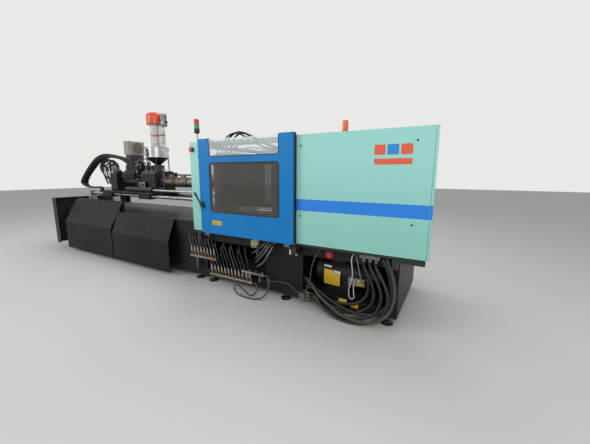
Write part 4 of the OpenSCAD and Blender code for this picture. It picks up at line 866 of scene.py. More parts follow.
def dressHopper():
    # Rolled rim and weld bead on the drum, three clamps, and a sight glass in its rubber
    s = hopperSet
    low, high = (Vector(corner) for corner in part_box("hopper"))
    cx = (low.x + high.x) / 2
    top, radius = high.z, (high.x - low.x) / 2 - s["overhang"]
    bead = top - s["beadLow"]
    rim = lathe([(radius + 0.0072, top - 0.010), (radius + 0.0105, top - 0.0085),
                 (radius + 0.0115, top - 0.005), (radius + 0.0105, top - 0.0015),
                 (radius + 0.0072, top)], 64, (cx, 0, 0))
    weld = lathe([(radius + 0.0002, bead), (radius + 0.0022, bead + 0.0015), (radius + 0.0024, bead + 0.004),
                  (radius + 0.0002, bead + 0.006)], 64, (cx, 0, 0))
    forms = [(rim, 0), (weld, 0)]
    for across, along in ringOf(s["clamps"], radius + 0.012, 0.5):
        out = Vector((across, along, 0)).normalized()
        side = Vector((-out.y, out.x, 0)) * s["handle"]
        spot = Vector((cx + across, along, 0)) + out * 0.0005
        foot, head = spot + lift(top - s["clampLow"]), spot + lift(top - s["clampHigh"])
        grip = spot + lift(top - s["clampLow"] + 0.002)
        forms.append((rod(foot, head, 0.0045, 0.001, 12), 1))
        forms.append((rod(grip - side, grip + side, 0.004, 0.001, 12), 1))
    makePiece("hopperTrim", "carriage", ["hopper_steel", "dark_steel"], forms)
    half, glassLow, glassHigh = s["glassHalf"], top - s["glassLow"], top - s["glassHigh"]
    pane = roundOutline(cx - half, cx + half, glassLow, glassHigh, 0.012)
    glass = panelPlate(pane, -radius - 0.0035, 0.004, 0.001)
    makePiece("hopperGlass", "carriage", [("hopper_steel", "dialGlass")], [glass])
    ring = roundOutline(cx - half - 0.006, cx + half + 0.006, glassLow - 0.006, glassHigh + 0.006, 0.016)
    layBead("hopperGlassSeal", [(x, -radius - 0.001, z) for x, z in ring], s["seal"], "carriage",
            ("hose_black", "sealRubber"), True)


loaderSet = {"tubeX": -1.100, "canX": -0.932, "tubeR": 0.088, "canR": 0.050, "high": 2.3303,
             "bands": ((2.010, 2.128), (2.130, 2.158)), "lastBand": 2.160, "clipHalf": 0.013}


def sleeve(x, radius, low, high, sides=56):
    # Thin wrap round a tube
    return lathe([(radius + 0.0003, low), (radius + 0.0007, low), (radius + 0.0007, high),
                  (radius + 0.0003, high)], sides, (x, 0, 0))


def dressLoader():
    # Blank bands round the tube and the filter canister, and the clip on the tube
    s = loaderSet
    for name, x, radius, short in (("tube", s["tubeX"], s["tubeR"], 0.016),
                                   ("can", s["canX"], s["canR"], 0.046)):
        wraps = [(sleeve(x, radius, low, high), index) for index, (low, high) in enumerate(s["bands"])]
        wraps.append((sleeve(x, radius, s["lastBand"], s["high"] - short - 0.075), 0))
        makePiece(name + "Wrap", "carriage",
                  [("loader_plastic", "labelWhite"), ("loader_plastic", "labelPink")], wraps)
    edge, half = s["tubeX"] - s["tubeR"], s["clipHalf"]
    clip = [block((edge - 0.020, -half, 2.262), (edge - 0.0005, half, 2.292), 0.003),
            block((edge - 0.014, 0.005 - half, 2.170), (edge - 0.006, half - 0.005, 2.268), 0.002),
            block((edge - 0.018, 0.002 - half, 2.160), (edge - 0.0005, half - 0.002, 2.182), 0.003)]
    makePiece("loaderClip", "carriage", "knob_black", clip)
    dressCap()
    dressBlower()


capSet = {"x": -1.090, "radius": 0.142, "low": 2.3305, "shoulder": 2.486, "top": 2.538,
          "strapTurns": (0.9, 3.0, 5.1)}


def dressCap():
    # Spun hood over the tube, with rolled beads, three clamp straps and a lifting eye
    s = capSet
    r, low, shoulder, top = s["radius"], s["low"], s["shoulder"], s["top"]
    profile = [(0, top), (0.030, top), (0.034, top - 0.004), (r - 0.038, top - 0.012),
               (r - 0.020, top - 0.020), (r - 0.007, shoulder + 0.014), (r, shoulder), (r, low + 0.094),
               (r + 0.003, low + 0.090), (r + 0.003, low + 0.084), (r, low + 0.080), (r, low + 0.026),
               (r + 0.004, low + 0.022), (r + 0.005, low + 0.012), (r + 0.004, low + 0.004),
               (r - 0.002, low), (0.060, low), (0, low)]
    forms = [(lathe(profile, 72, (s["x"], 0, 0)), 0)]
    for turn in s["strapTurns"]:
        out = Vector((math.cos(turn), math.sin(turn), 0))
        spot = Vector((s["x"], 0, low + 0.020)) + out * (r + 0.003)
        forms.append((rod(spot + lift(-0.014), spot + lift(0.052), 0.0055, 0.0012, 14), 1))
        inner, outer = spot - out * 0.004 + lift(0.050), spot + out * 0.009 + lift(0.050)
        forms.append((rod(inner, outer, 0.0042, 0.001, 12), 1))
    eye = lathe([(0.0105, 0.0030), (0.0075, 0.0), (0.0105, -0.0030), (0.0135, 0.0), (0.0105, 0.0030)], 24,
                (s["x"], 0, top - 0.0065), (0, 1, 0))
    forms.append((eye, 1))
    makePiece("loaderHood", "carriage", ["cap_orange", "dark_steel"], forms, replaced=("loader_cap",))


blowerSet = {"x": -0.868, "radius": 0.053, "low": 2.290, "high": 2.500, "ribs": 26, "screws": 6,
             "bandLow": 0.050, "bandHigh": 0.037}


def dressBlower():
    # Vacuum motor beside the hood: flange, ribbed can, dark band, cable box and bridge
    s = blowerSet
    x, r, low, high = s["x"], s["radius"], s["low"], s["high"]
    can = lathe([(0, high - 0.004), (0.020, high), (r - 0.016, high), (r - 0.005, high - 0.008),
                 (r - 0.001, high - 0.022), (r - 0.001, high - 0.060), (r - 0.007, high - 0.064),
                 (r - 0.007, high - 0.122), (r, high - 0.126), (r, low + 0.040), (r + 0.008, low + 0.036),
                 (r + 0.009, low + 0.026), (r + 0.003, low + 0.022), (r - 0.004, low), (0, low)], 56,
                (x, 0, 0))
    forms = [(can, 0)]
    for across, along in ringOf(s["ribs"], r - 0.0055):
        foot = Vector((x + across, along, 0))
        forms.append((rod(foot + lift(high - 0.120), foot + lift(high - 0.066), 0.0024, 0.0006, 8), 0))
    for across, along in ringOf(s["screws"], r + 0.0015, 0.4):
        forms.append((screwHead((x + across, along, low + 0.0365), toSky, 0.0042), 1))
    bandLow, bandHigh = high - s["bandLow"], high - s["bandHigh"]
    band = lathe([(r - 0.0011, bandLow), (r + 0.0012, bandLow + 0.001), (r + 0.0012, bandHigh - 0.001),
                  (r - 0.0011, bandHigh)], 56, (x, 0, 0))
    forms.append((band, 2))
    cableBox = block((x + r - 0.004, -0.022, low + 0.052), (x + r + 0.022, 0.022, low + 0.088), 0.004)
    forms.append((cableBox, 2))
    bridge = block((capSet["x"] + capSet["radius"] - 0.016, -0.026, low + 0.0425),
                   (x - r + 0.012, 0.026, low + 0.082), 0.004)
    forms.append((bridge, 1))
    makePiece("blowerMotor", "carriage", ["motor_grey", "dark_steel", "knob_black"], forms,
              replaced=("loader_motor",))


boxSet = {"low": 1.835, "high": 2.080, "lid": 0.010, "coverY": 0.02, "cover": 0.098, "coverBolts": 8,
          "boltRing": 0.091, "cornerY": 0.135, "cornerZ": (1.856, 2.058), "dialY": -0.07, "dial": 0.030,
          "plinthX": (-1.8305, -1.7055), "plinthY": 0.135, "plinthZ": (1.6405, 1.8345)}


def dressTerminalBox():
    # Round cover with its raised ring and bolts, lid seam, rear dial, and dark skins on the plinth
    s = boxSet
    low, high = (Vector(corner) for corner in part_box("terminal_box"))
    face = high.x - s["lid"]
    cy, cz = s["coverY"], (s["low"] + s["high"]) / 2
    ring = lathe([(0.106, 0.0102), (0.1125, 0.0102), (0.1135, 0.0125), (0.1105, 0.0150), (0.104, 0.0150),
                  (0.1015, 0.0125), (0.102, 0.0102), (0.106, 0.0102)], 64, (face, cy, cz), toClamp)
    forms = [(ring, 0)]
    for across, up in ringOf(s["coverBolts"], s["boltRing"], 0.2):
        forms.append((screwHead((face + 0.0102, cy + across, cz + up), toClamp, 0.005), 1))
    forms += [(screwHead((face, y, z), toClamp, 0.0048), 1)
              for y in (-s["cornerY"], s["cornerY"]) for z in s["cornerZ"]]
    seam = block((face - 0.046, -0.1565, s["low"] - 0.001), (face - 0.040, 0.1565, s["high"] + 0.0015),
                 0.0015)
    wide, cover = s["dial"], s["cover"]
    dial = lathe([(0, 0.0), (wide, 0.0), (wide, 0.008), (wide - 0.004, 0.011), (0, 0.011)], 32,
                 (low.x - 0.002, s["dialY"], cz), toTail)
    disc = lathe([(0, 0.0102), (0, 0.0112), (cover, 0.0112), (cover + 0.003, 0.0102), (0, 0.0102)], 64,
                 (face, cy, cz), toClamp)
    forms += [(seam, 0), (dial, 2), (disc, 3)]
    makePiece("terminalTrim", "carriage", ["box_grey", "dark_steel", "knob_black", ("box_grey", "discGrey")],
              forms)
    (x0, x1), y, (z0, z1) = s["plinthX"], s["plinthY"], s["plinthZ"]
    plate = block((x0, -y - 0.0003, z0), (x1, -y + 0.0005, z1), 0.0005)
    skin = block((x1 - 0.0007, -y, z0), (x1 + 0.0003, y, z1), 0.0004)
    makePiece("terminalBase", "carriage", [("saddle_black", "boxBlack")], [plate, skin])


valveSet = {"count": 4, "stackX": -1.770, "stackStep": 0.095, "stackY": (-0.2550, -0.2003),
            "stackZ": (1.412, 1.508), "screwX": 0.030, "screwZ": 0.036, "screw": 0.0055, "deck": 1.640,
            "coilX": -1.620, "coilStep": 0.042, "coilY": -0.110, "coilZ": (1.679, 1.726),
            "plugs": ((-1.455, -0.120, 1.549, 1.600), (-1.455, 0.020, 1.549, 1.600),
                      (-1.520, 0.090, 1.640, 1.690), (-1.640, 0.060, 1.640, 1.700)),  # x, y, foot, top
            "plateX": (-1.80, -1.43), "plateZ": (1.384, 1.546)}


def dressValves():
    # Valve bodies with their screws, a row of coils, round plugs and the two end plates
    s = valveSet
    (front, back), (low, high) = s["stackY"], s["stackZ"]
    forms = []
    for index in range(s["count"]):
        x = s["stackX"] + index * s["stackStep"]
        forms.append((block((x - 0.040, front, low), (x + 0.040, back, high), 0.004), 0))
        forms += [(screwHead((x + dx, front, (low + high) / 2 + dz), toFront, s["screw"]), 2)
                  for dz in (-s["screwZ"], s["screwZ"]) for dx in (-s["screwX"], s["screwX"])]
    for index in range(s["count"]):
        x, y = s["coilX"] + index * s["coilStep"], s["coilY"]
        forms.append((rod((x, y, s["coilZ"][0]), (x, y, s["coilZ"][1]), 0.0165, 0.003, 20), 1))
        forms.append((nut((x, y, s["deck"]), (x, y, s["deck"] + 0.012), 0.021), 2))
    for x, y, foot, top in s["plugs"]:
        forms.append((rod((x, y, foot), (x, y, top), 0.022, 0.003, 24), 0))
        forms.append((nut((x, y, top - 0.001), (x, y, top + 0.016), 0.018), 2))
    for x in s["plateX"]:
        plate = block((x - 0.018, -0.2040, s["plateZ"][0]), (x + 0.018, -0.2005, s["plateZ"][1]), 0.001)
        forms.append((plate, 2))
    makePiece("valveStack", "carriage", ["cylinder_black", ("hose_black", "bluePlastic"), "dark_steel"],
              forms)


gaugeSet = {"z": 1.300, "dialX": (-1.275, -1.205), "dialY": -0.2785, "bezel": 0.0335, "glass": 0.0266,
            "plateY": -0.2502, "whiteX": (-1.2960, -1.1610), "blueX": (-1.3195, -1.2975)}


def dressGauges():
    # Blank white and blue plates behind two dials, each with a bezel, a glass and a red needle
    s = gaugeSet
    y, z, back = s["dialY"], s["z"], s["plateY"]
    (blue0, blue1), (white0, white1) = s["blueX"], s["whiteX"]
    bluePlate = block((blue0, back - 0.0010, z - 0.0395), (blue1, back, z + 0.0395), 0.0004)
    whitePlate = block((white0, back - 0.0013, z - 0.0385), (white1, back, z + 0.0385), 0.0004)
    forms = [(bluePlate, 1), (whitePlate, 0)]
    inner, outer, clear = s["glass"], s["bezel"], 0.0302
    for x in s["dialX"]:
        bezel = lathe([(inner - 0.0001, 0.0), (outer - 0.001, 0.0), (outer, -0.004), (outer - 0.001, -0.012),
                       (clear, -0.014), (clear, 0.001), (inner - 0.0001, 0.0)], 36, (x, y, z), toFront)
        glass = lathe([(0, 0.0012), (0.024, 0.0008), (inner, 0.0002), (inner, -0.0015), (0, -0.0015)], 36,
                      (x, y, z), toFront)
        needle = block((x - 0.0010, y - 0.0027, z - 0.004), (x + 0.0010, y - 0.0014, z + 0.019), 0.0003)
        forms += [(bezel, 2), (glass, 3), (needle, 4)]
    makePiece("gaugePlate", "carriage",
              [("cylinder_black", "labelWhite"), ("cylinder_black", "bluePlastic"), "dark_steel",
               ("cylinder_black", "dialGlass"), ("cylinder_black", "redPlastic")], forms)


housingSet = {"cornerY": 0.150, "cornerZ": (1.195, 1.480), "corner": 0.014, "bolts": 8, "boltRing": 0.105,
              "bolt": 0.011, "collar": (0.0685, 0.0865), "sideInset": 0.06, "sideZ": (1.215, 1.290, 1.440),
              "side": 0.010}


def dressHousing():
    # Corner bolts, the bolt circle and the collar round the barrel, and bolts on the operator's side
    s = housingSet
    low, high = (Vector(corner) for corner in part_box("injection_housing"))
    forms = [screwHead((high.x, y, z), toClamp, s["corner"])
             for y in (-s["cornerY"], s["cornerY"]) for z in s["cornerZ"]]
    for across, up in ringOf(s["bolts"], s["boltRing"], 0.39):
        forms.append(screwHead((high.x, across, unitAxis + up), toClamp, s["bolt"]))
    inner, outer = s["collar"]
    ring = [(inner, 0.0003), (outer, 0.0003), (outer, 0.010), (outer - 0.003, 0.013), (inner + 0.003, 0.013),
            (inner, 0.010), (inner, 0.0003)]
    forms.append(lathe(ring, 48, (high.x, 0, unitAxis), toClamp))
    rearHeights, frontHeights = s["sideZ"][-1:], s["sideZ"]  # the rear column has its upper bolt only
    forms += [screwHead((low.x + s["sideInset"], low.y, z), toFront, s["side"]) for z in rearHeights]
    forms += [screwHead((high.x - s["sideInset"], low.y, z), toFront, s["side"]) for z in frontHeights]
    makePiece("housingBolts", "carriage", "dark_steel", forms)


unitPipeSet = {
    "routes": [  # points, radius
        ([(-0.945, -0.2085, 1.225), (-0.870, -0.216, 1.225), (-0.700, -0.216, 1.262),
          (-0.682, -0.212, 1.330), (-0.682, -0.206, 1.480), (-0.700, -0.200, 1.560), (-0.800, -0.170, 1.575),
          (-0.9275, -0.1500, 1.500)], 0.008),
        ([(-1.3302, -0.175, 1.452), (-1.362, -0.178, 1.452), (-1.386, -0.182, 1.452),
          (-1.3995, -0.184, 1.452)], 0.010),
        ([(-1.500, -0.130, 1.640), (-1.500, -0.130, 1.690), (-1.440, -0.125, 1.735), (-1.330, -0.115, 1.700),
          (-1.300, -0.110, 1.610), (-1.300, -0.110, 1.5352)], 0.011),
        ([(-1.540, -0.055, 1.640), (-1.540, -0.055, 1.700), (-1.470, -0.050, 1.760), (-1.300, -0.045, 1.730),
          (-1.255, -0.040, 1.620), (-1.255, -0.040, 1.5352)], 0.011),
    ],
    "unions": [(-1.300, -0.110, 1.5352, 1.562), (-1.255, -0.040, 1.5352, 1.562),
               (-1.500, -0.130, 1.6402, 1.666), (-1.540, -0.055, 1.6402, 1.666)],  # x, y, foot, top
    "union": 0.019,
}


def dressUnitPipes():
    # Bent steel tubes and their unions on the carriage
    forms = [(bend(points, radius), 0) for points, radius in unitPipeSet["routes"]]
    for x, y, foot, top in unitPipeSet["unions"]:
        forms.append((nut((x, y, foot), (x, y, top), unitPipeSet["union"]), 1))
    makePiece("unitPipes", "carriage", ["dark_steel", "rail_steel"], forms)


motorSet = {"face": -2.2102, "bolts": 10, "boltRing": 0.137, "bolt": 0.0085, "deck": 1.535,
            "frontX": (-2.400, -2.365, -2.330), "backX": (-2.390, -2.345), "unionY": 0.030,
            "unionTop": 1.600}


def dressMotor():
    # Cover bolts, and blue and teal unions on top of the screw motor
    s = motorSet
    y, deck = s["unionY"], s["deck"]
    forms = []
    for across, up in ringOf(s["bolts"], s["boltRing"], 0.15):
        forms.append((screwHead((s["face"], across, unitAxis + up), toTail, s["bolt"]), 2))
    for x, shade in zip(s["frontX"], (0, 1, 0)):
        forms.append((nut((x, -y, deck), (x, -y, deck + 0.017), 0.016), 2))
        forms.append((rod((x, -y, deck + 0.016), (x, -y, s["unionTop"]), 0.0125, 0.002, 20), shade))
    for x in s["backX"]:
        forms.append((nut((x, y, deck), (x, y, deck + 0.031), 0.018), 2))
    makePiece("motorUnions", "injection_head",
              [("motor_black", "tealPlastic"), ("motor_black", "bluePlastic"), "dark_steel"], forms)


dressBands()
dressHopper()
dressLoader()
dressTerminalBox()
dressValves()
dressGauges()
dressHousing()
dressUnitPipes()
dressMotor()

print("hoses")

hoseRoutes = {  # route in millimetres, diameter, replaced node, slot
    "hydraulicHose1": ([
        (2870, -650, 650), (2870, -650, 600), (2940, -658, 470), (2985, -664, 330), (2950, -668, 200),
        (2830, -668, 110), (2640, -662, 70), (2450, -654, 90), (2330, -650, 115), (2270, -650, 115),
    ], 32, "hydraulic_hose_1", "hose_black"),
    "hydraulicHose2": ([
        (2930, -650, 650), (2930, -650, 600), (3020, -668, 450), (3060, -684, 310), (3010, -700, 150),
        (2850, -708, 60), (2650, -708, 40), (2460, -698, 100), (2350, -666, 150), (2310, -650, 150),
        (2270, -650, 150)], 32, "hydraulic_hose_2", "hose_black"),
    "hydraulicHose3": ([
        (2990, -650, 650), (2990, -650, 600), (3090, -690, 450), (3130, -716, 300), (3070, -738, 130),
        (2880, -748, 35), (2650, -746, 30), (2470, -736, 110), (2358, -682, 188), (2314, -650, 185),
        (2270, -650, 185)], 32, "hydraulic_hose_3", "hose_black"),
    "mouldHose": ([
        (800, -300, 1780), (800, -300, 1850), (860, -296, 1970), (980, -280, 2040), (1110, -230, 2020),
        (1230, -130, 1940), (1320, 20, 1875), (1370, 220, 1850), (1400, 560, 1855), (1400, 640, 1855),
    ], 26, "mould_hose", "hose_black"),
    "waterLoopHose": ([
        (1665.2, -655, 278), (1705, -655, 278), (1740, -668, 230), (1745, -700, 130), (1700, -740, 45),
        (1600, -775, 14), (1480, -785, 14), (1340, -765, 20), (1250, -735, 75), (1290, -712, 110),
        (1400, -715, 60), (1500, -735, 24), (1570, -720, 60), (1570, -676, 125), (1530, -655, 150),
        (1487.2, -655, 150)], 20, "water_loop_hose", "hose_grey"),
}
for name, (points, diameter, node, slotName) in hoseRoutes.items():
    layHose(name, [[c * millimetre for c in p] for p in points], diameter * millimetre, "machine", slotName,
            (node,))


print("base and manifolds")


def pipeFittings(name, x0, x1, y, z, count, lean, reach):
    # Nut, ball valve, leaning tail and blank tag on each nipple of a water manifold
    s = fittingSet
    forms, ends = [], []
    for index in range(count):
        x = x0 + s["inset"] + index * (x1 - x0 - 2 * s["inset"]) / (count - 1)
        knee = x - lean * 0.3
        top = z + s["nipple"]
        forms.append((nut((x, y, top - 0.001), (x, y, top + 0.014), s["nut"]), 0))
        forms.append((rod((x, y, top + 0.012), (knee, y, top + 0.046), s["body"], 0.002, 16), 0))
        forms.append((rod((knee, y, top + 0.044), (x - lean, y, top + reach), s["tail"], 0.001, 14), 1))
        tag = block((knee - 0.004, y - 0.016, top + 0.020), (knee + 0.004, y - 0.013, top + 0.078), 0.001)
        forms.append((tag, 2))
        ends.append([(x, y, top + 0.008), (knee, y, top + 0.044), (x - lean, y, top + reach)])
    makePiece(name, "machine", [("manifold_steel", "brass"), ("manifold_steel", "nickel"),
                                ("manifold_steel", "labelWhite")], forms)
    return ends


pipeSet = {"y": -0.655, "upper": (0.409, 0.895, 0.360), "lower": (0.785, 1.487, 0.150),
           "short": (1.330, 1.665, 0.278), "hose": 0.0075, "wallY": -0.6005,
           "drift": (0.004, -0.010, 0.012, -0.004, 0.016, 0.000, -0.014),
           "rise": (0.0, 0.020, -0.030, 0.010, -0.045)}
fittingSet = {"inset": 0.030, "nipple": 0.044, "nut": 0.013, "body": 0.011, "tail": 0.0085}


def dressManifolds():
    # Fittings on both long pipes, collars at the ends of all three, and a hose up from each fitting
    s = pipeSet
    y, wall = s["y"], s["wallY"]
    x0, x1, z = s["upper"]
    upperEnds = pipeFittings("upperFittings", x0, x1, y, z, 8, 0.024, 0.100)
    x0, x1, z = s["lower"]
    lowerEnds = pipeFittings("lowerFittings", x0, x1, y, z, 12, 0.022, 0.090)
    collars = []
    for (x0, x1, z), metal in ((s["upper"], 1), (s["lower"], 0), (s["short"], 0)):
        for x in (x0 - 0.001, x1 - 0.019):
            collars.append((nut((x, y, z), (x + 0.020, y, z), 0.0265, 0.002), metal))
    x0, x1, z = s["upper"]
    profile = [(0.0203, 0.0), (0.0212, 0.0005), (0.0212, 0.195), (0.0203, 0.1955)]
    wrap = lathe(profile, 32, (x1 - 0.216, y, z), toClamp)
    collars.append((wrap, 1))
    makePiece("manifoldCollars", "machine", [("manifold_steel", "brass"), ("manifold_steel", "copper")],
              collars)
    for index, end in enumerate(upperEnds):
        x, y, z = end[-1]
        route = end + [(x - 0.014, y, z + 0.040), (x - 0.036, y + 0.006, z + 0.095),
                       (x - 0.052, y + 0.026, z + 0.140), (x - 0.058, wall, z + 0.158)]
        layBead(f"upperHose{index}", smoothRoute(route, 4), s["hose"], "machine",
                "hose_black" if index % 3 else "hose_grey")
    for index, end in enumerate(lowerEnds):
        x, y, z = end[-1]
        drift, rise = s["drift"][index % 7], s["rise"][index % 5]
        route = end + [(x - 0.014, y, z + 0.040), (x - 0.040 + drift, y + 0.004, z + 0.110 + rise / 2),
                       (x - 0.080 + drift, y + 0.014, z + 0.190 + rise),
                       (x - 0.112 + drift * 2, -0.628, z + 0.262 + rise),
                       (x - 0.124 + drift * 2, wall, z + 0.300 + rise)]
        layBead(f"lowerHose{index}", smoothRoute(route, 4), s["hose"], "machine",
                "hose_grey" if index % 5 == 2 else "hose_black")


frameSet = {"face": -0.6003, "junctionX": (1.466, 1.569), "junctionZ": (0.640, 0.698),
            "unionX": (2.030, 2.108), "unionY": -0.655, "cap": (2.487, 0.648), "capR": 0.040, "capRibs": 16,
            "plates": ((2.600, 2.690, 0.118, 0.184), (2.735, 2.815, 0.112, 0.160)),
            "screwX": (0.600, 1.690, 1.990, 2.120, 3.140), "screwZ": (0.140, 0.640), "screw": 0.006}


def dressFrame():
    # Beige junction block, white unions with red caps, red filler cap, blank yellow plates
    s = frameSet
    face = s["face"]
    (x0, x1), (z0, z1) = s["junctionX"], s["junctionZ"]
    box = block((x0, -0.655, z0), (x1, face, z1), 0.008, 3)
    strip = block((x0 + 0.010, -0.662, z0 - 0.028), (x1 - 0.010, -0.628, z0 + 0.002), 0.003)
    makePiece("junctionBlock", "machine", [("frame_black", "beigePlastic"), ("frame_black", "greyPlastic")],
              [(box, 0), (strip, 1)])
    forms = []
    y = s["unionY"]
    for x in s["unionX"]:
        forms.append((block((x - 0.016, -0.640, 0.640), (x + 0.016, face, 0.664), 0.003), 2))
        forms.append((rod((x, y, 0.600), (x, y, 0.662), 0.0135, 0.003, 20), 0))
        forms.append((nut((x, y, 0.660), (x, y, 0.674), 0.0155), 2))
        forms.append((rod((x, y, 0.672), (x + 0.012, y, 0.697), 0.011, 0.003, 20), 1))
    makePiece("frameUnions", "machine",
              [("frame_black", "labelWhite"), ("frame_black", "redPlastic"), "dark_steel"], forms)
    (cx, cz), r = s["cap"], s["capR"]
    cap = [lathe([(0, 0.034), (0.030, 0.033), (0.037, 0.028), (r, 0.020), (r, 0.004), (0.046, 0.003),
                  (0.046, 0), (0, 0)], 36, (cx, face, cz), toFront)]
    for across, up in ringOf(s["capRibs"], r):
        cap.append(rod((cx + across, face - 0.006, cz + up), (cx + across, face - 0.026, cz + up), 0.003,
                       0.0008, 8))
    makePiece("fillerCap", "machine", [("frame_black", "redPlastic")], cap)
    plates = [panelPlate(roundOutline(*edges, 0.004, 3), face - 0.0022, 0.0020, 0.0004)
              for edges in s["plates"]]
    makePiece("sillPlates", "machine", [("frame_black", "labelYellow")], plates)
    heads = [screwHead((x, face, z), toFront, s["screw"]) for x in s["screwX"] for z in s["screwZ"]]
    makePiece("frameScrews", "machine", "dark_steel", heads)


pumpSet = {
    "plateY": -0.4755, "plateDeep": 0.0035,
    "plates": [  # outline in x and z, finish index
        ([(2.372, 0.270), (2.562, 0.262), (2.562, 0.392), (2.484, 0.400), (2.484, 0.436),
          (2.372, 0.440)], 0),
        ([(2.488, 0.404), (2.566, 0.396), (2.566, 0.430), (2.488, 0.438)], 1),
        ([(2.372, 0.470), (2.462, 0.464), (2.462, 0.486), (2.372, 0.492)], 1),
    ],
    "finX": (2.672, 2.690, 2.708), "standX": (2.385, 2.540),
    "cage": (2.269, -0.330, 0.385), "rings": (0.030, 0.055, 0.080, 0.105), "wire": 0.0035, "spokes": 6,
    "boltX": (2.443, 2.583), "boltY": (-0.392, -0.268), "lidTop": 0.5822,
}


def dressPump():
    # Blank plates on a carrier in front of the motor, its control box, fan cage, lid and gland
    s = pumpSet
    y, deep = s["plateY"], s["plateDeep"]
    forms = [(panelPlate(outline, y, deep, 0.0006), index) for outline, index in s["plates"]]
    for x in s["standX"]:
        forms.append((block((x, y + 0.003, 0.372), (x + 0.015, -0.450, 0.398), 0.001), 2))
    forms.append((block((2.655, y + deep, 0.300), (2.840, -0.438, 0.384), 0.003), 4))
    for x in s["finX"]:
        forms.append((block((x, y, 0.306), (x + 0.006, y + 0.0040, 0.378), 0.0008), 2))
    forms.append((panelPlate(roundOutline(2.752, 2.826, 0.312, 0.346, 0.003, 3), y, 0.0036, 0.0005), 0))
    forms.append((rod((2.775, y + 0.004, 0.364), (2.775, y - 0.004, 0.364), 0.011, 0.0015, 20), 1))
    forms.append((block((2.662, -0.4700, 0.3835), (2.712, -0.4300, 0.408), 0.003), 3))
    forms.append((block((2.374, y + 0.0036, 0.262), (2.382, y + 0.008, 0.488), 0.001), 2))
    forms.append((block((2.374, y + 0.0036, 0.376), (2.564, y + 0.008, 0.392), 0.001), 2))
    makePiece("motorPlates", "machine",
              [("motor_black", "labelYellow"), ("motor_black", "labelWhite"), "dark_steel",
               ("motor_black", "bluePlastic"), ("motor_black", "greyPlastic")], forms)
    cx, cy, cz = s["cage"]
    wire = s["wire"]
    cage = [lathe([(r - wire, 0.0), (r, wire), (r + wire, 0.0), (r, -wire), (r - wire, 0.0)], 40,
                  (cx, cy, cz), toTail) for r in s["rings"]]
    for across, up in ringOf(s["spokes"], 1.0, 0.3):
        cage.append(rod((cx, cy + 0.012 * across, cz + 0.012 * up),
                        (cx, cy + 0.118 * across, cz + 0.118 * up), 0.003, 0.0008, 8))
    makePiece("fanCage", "machine", "motor_black", cage)
    top = s["lidTop"]
    lid = block((2.4315, -0.404, top - 0.007), (2.5945, -0.256, top), 0.003)
    gland = rod((2.513, -0.400, 0.548), (2.513, -0.432, 0.548), 0.014, 0.002, 20)
    bolts = [(screwHead((x, y, top), toSky, 0.005), 1) for x in s["boltX"] for y in s["boltY"]]
    makePiece("motorLid", "machine", ["motor_black", "dark_steel"], [lid, (gland, 1)] + bolts)


clusterSet = {"count": 12, "x": -2.520, "step": 0.030, "rows": (-0.115, -0.060, -0.090), "deck": 1.535,
              "peak": 1.640, "backY": -0.160, "hoses": (0.0070, 0.0085, 0.0085), "greyHose": 7}


def dressCluster():
    # Unions on the screw motor's manifold with short hoses that loop behind it
    s = clusterSet
    deck = s["deck"]
    forms = []
    for index in range(s["count"]):
        x = s["x"] + index * s["step"]
        y = s["rows"][index % 3]
        top = deck + 0.030 + (index * 7 % 5) * 0.011
        forms.append((nut((x, y, deck - 0.001), (x, y, deck + 0.012), 0.0135), 2))
        forms.append((rod((x, y, deck + 0.010), (x, y, top), 0.0095, 0.0015, 16), index * 5 % 3))
        forms.append((nut((x, y, top - 0.001), (x, y, top + 0.012), 0.0125), 2))
        reach = 0.070 + (index * 3 % 4) * 0.024
        peak = s["peak"] + (index * 4 % 7) * 0.021
        back = s["backY"] - (index % 4) * 0.008
        route = smoothRoute([(x, y, top + 0.006), (x - 0.004, y - 0.004, top + 0.050),
                             (x - reach * 0.5, (y + back) / 2, peak), (x - reach, back, peak - 0.050),
                             (x - reach * 0.9, back - 0.006, peak - 0.160), (x - reach * 0.4, back, 1.400),
                             (x - 0.010, back + 0.010, 1.310), (x, -0.1490, 1.290)], 4)
        layBead(f"clusterHose{index}", route, s["hoses"][index % 3], "injection_head",
                "hose_grey" if index == s["greyHose"] else "hose_black")
    forms.append((block((-2.535, -0.130, deck + 0.0001), (-2.175, -0.045, deck + 0.005), 0.001), 3))
    makePiece("clusterUnions", "injection_head",
              [("motor_black", "tealPlastic"), ("motor_black", "bluePlastic"), ("motor_black", "nickel"),
               "dark_steel"], forms)


coverSet = {"panels": ((-1.400, 0.040), (-3.000, -1.430)), "inset": 0.09, "columns": 4,
            "rows": (0.130, 0.470), "skin": -0.7502, "screw": 0.008}


def dressCovers():
    # Screws along the two long covers
    s = coverSet
    forms = []
    for x0, x1 in s["panels"]:
        for index in range(s["columns"]):
            x = x0 + s["inset"] + index * (x1 - x0 - 2 * s["inset"]) / (s["columns"] - 1)
            forms += [screwHead((x, s["skin"], z), toFront, s["screw"]) for z in s["rows"]]
    makePiece("coverBolts", "machine", "dark_steel", forms)


feetSet = {"x": (0.703, 1.923, 3.100, -3.180, -1.3685, 0.443), "y": (-0.540, 0.540), "nut": 0.018}


def dressFeet():
    # Lock nuts and the domed edges of the levelling feet
    dome = [(0.0455, 0.0185), (0.0465, 0.0200), (0.0240, 0.0325), (0.0225, 0.0322)]
    forms = []
    for x in feetSet["x"]:
        for y in feetSet["y"]:
            forms += [nut((x, y, 0.050), (x, y, 0.060), feetSet["nut"]), lathe(dome, 40, (x, y, 0))]
    makePiece("footNuts", "machine", "rail_steel", forms)


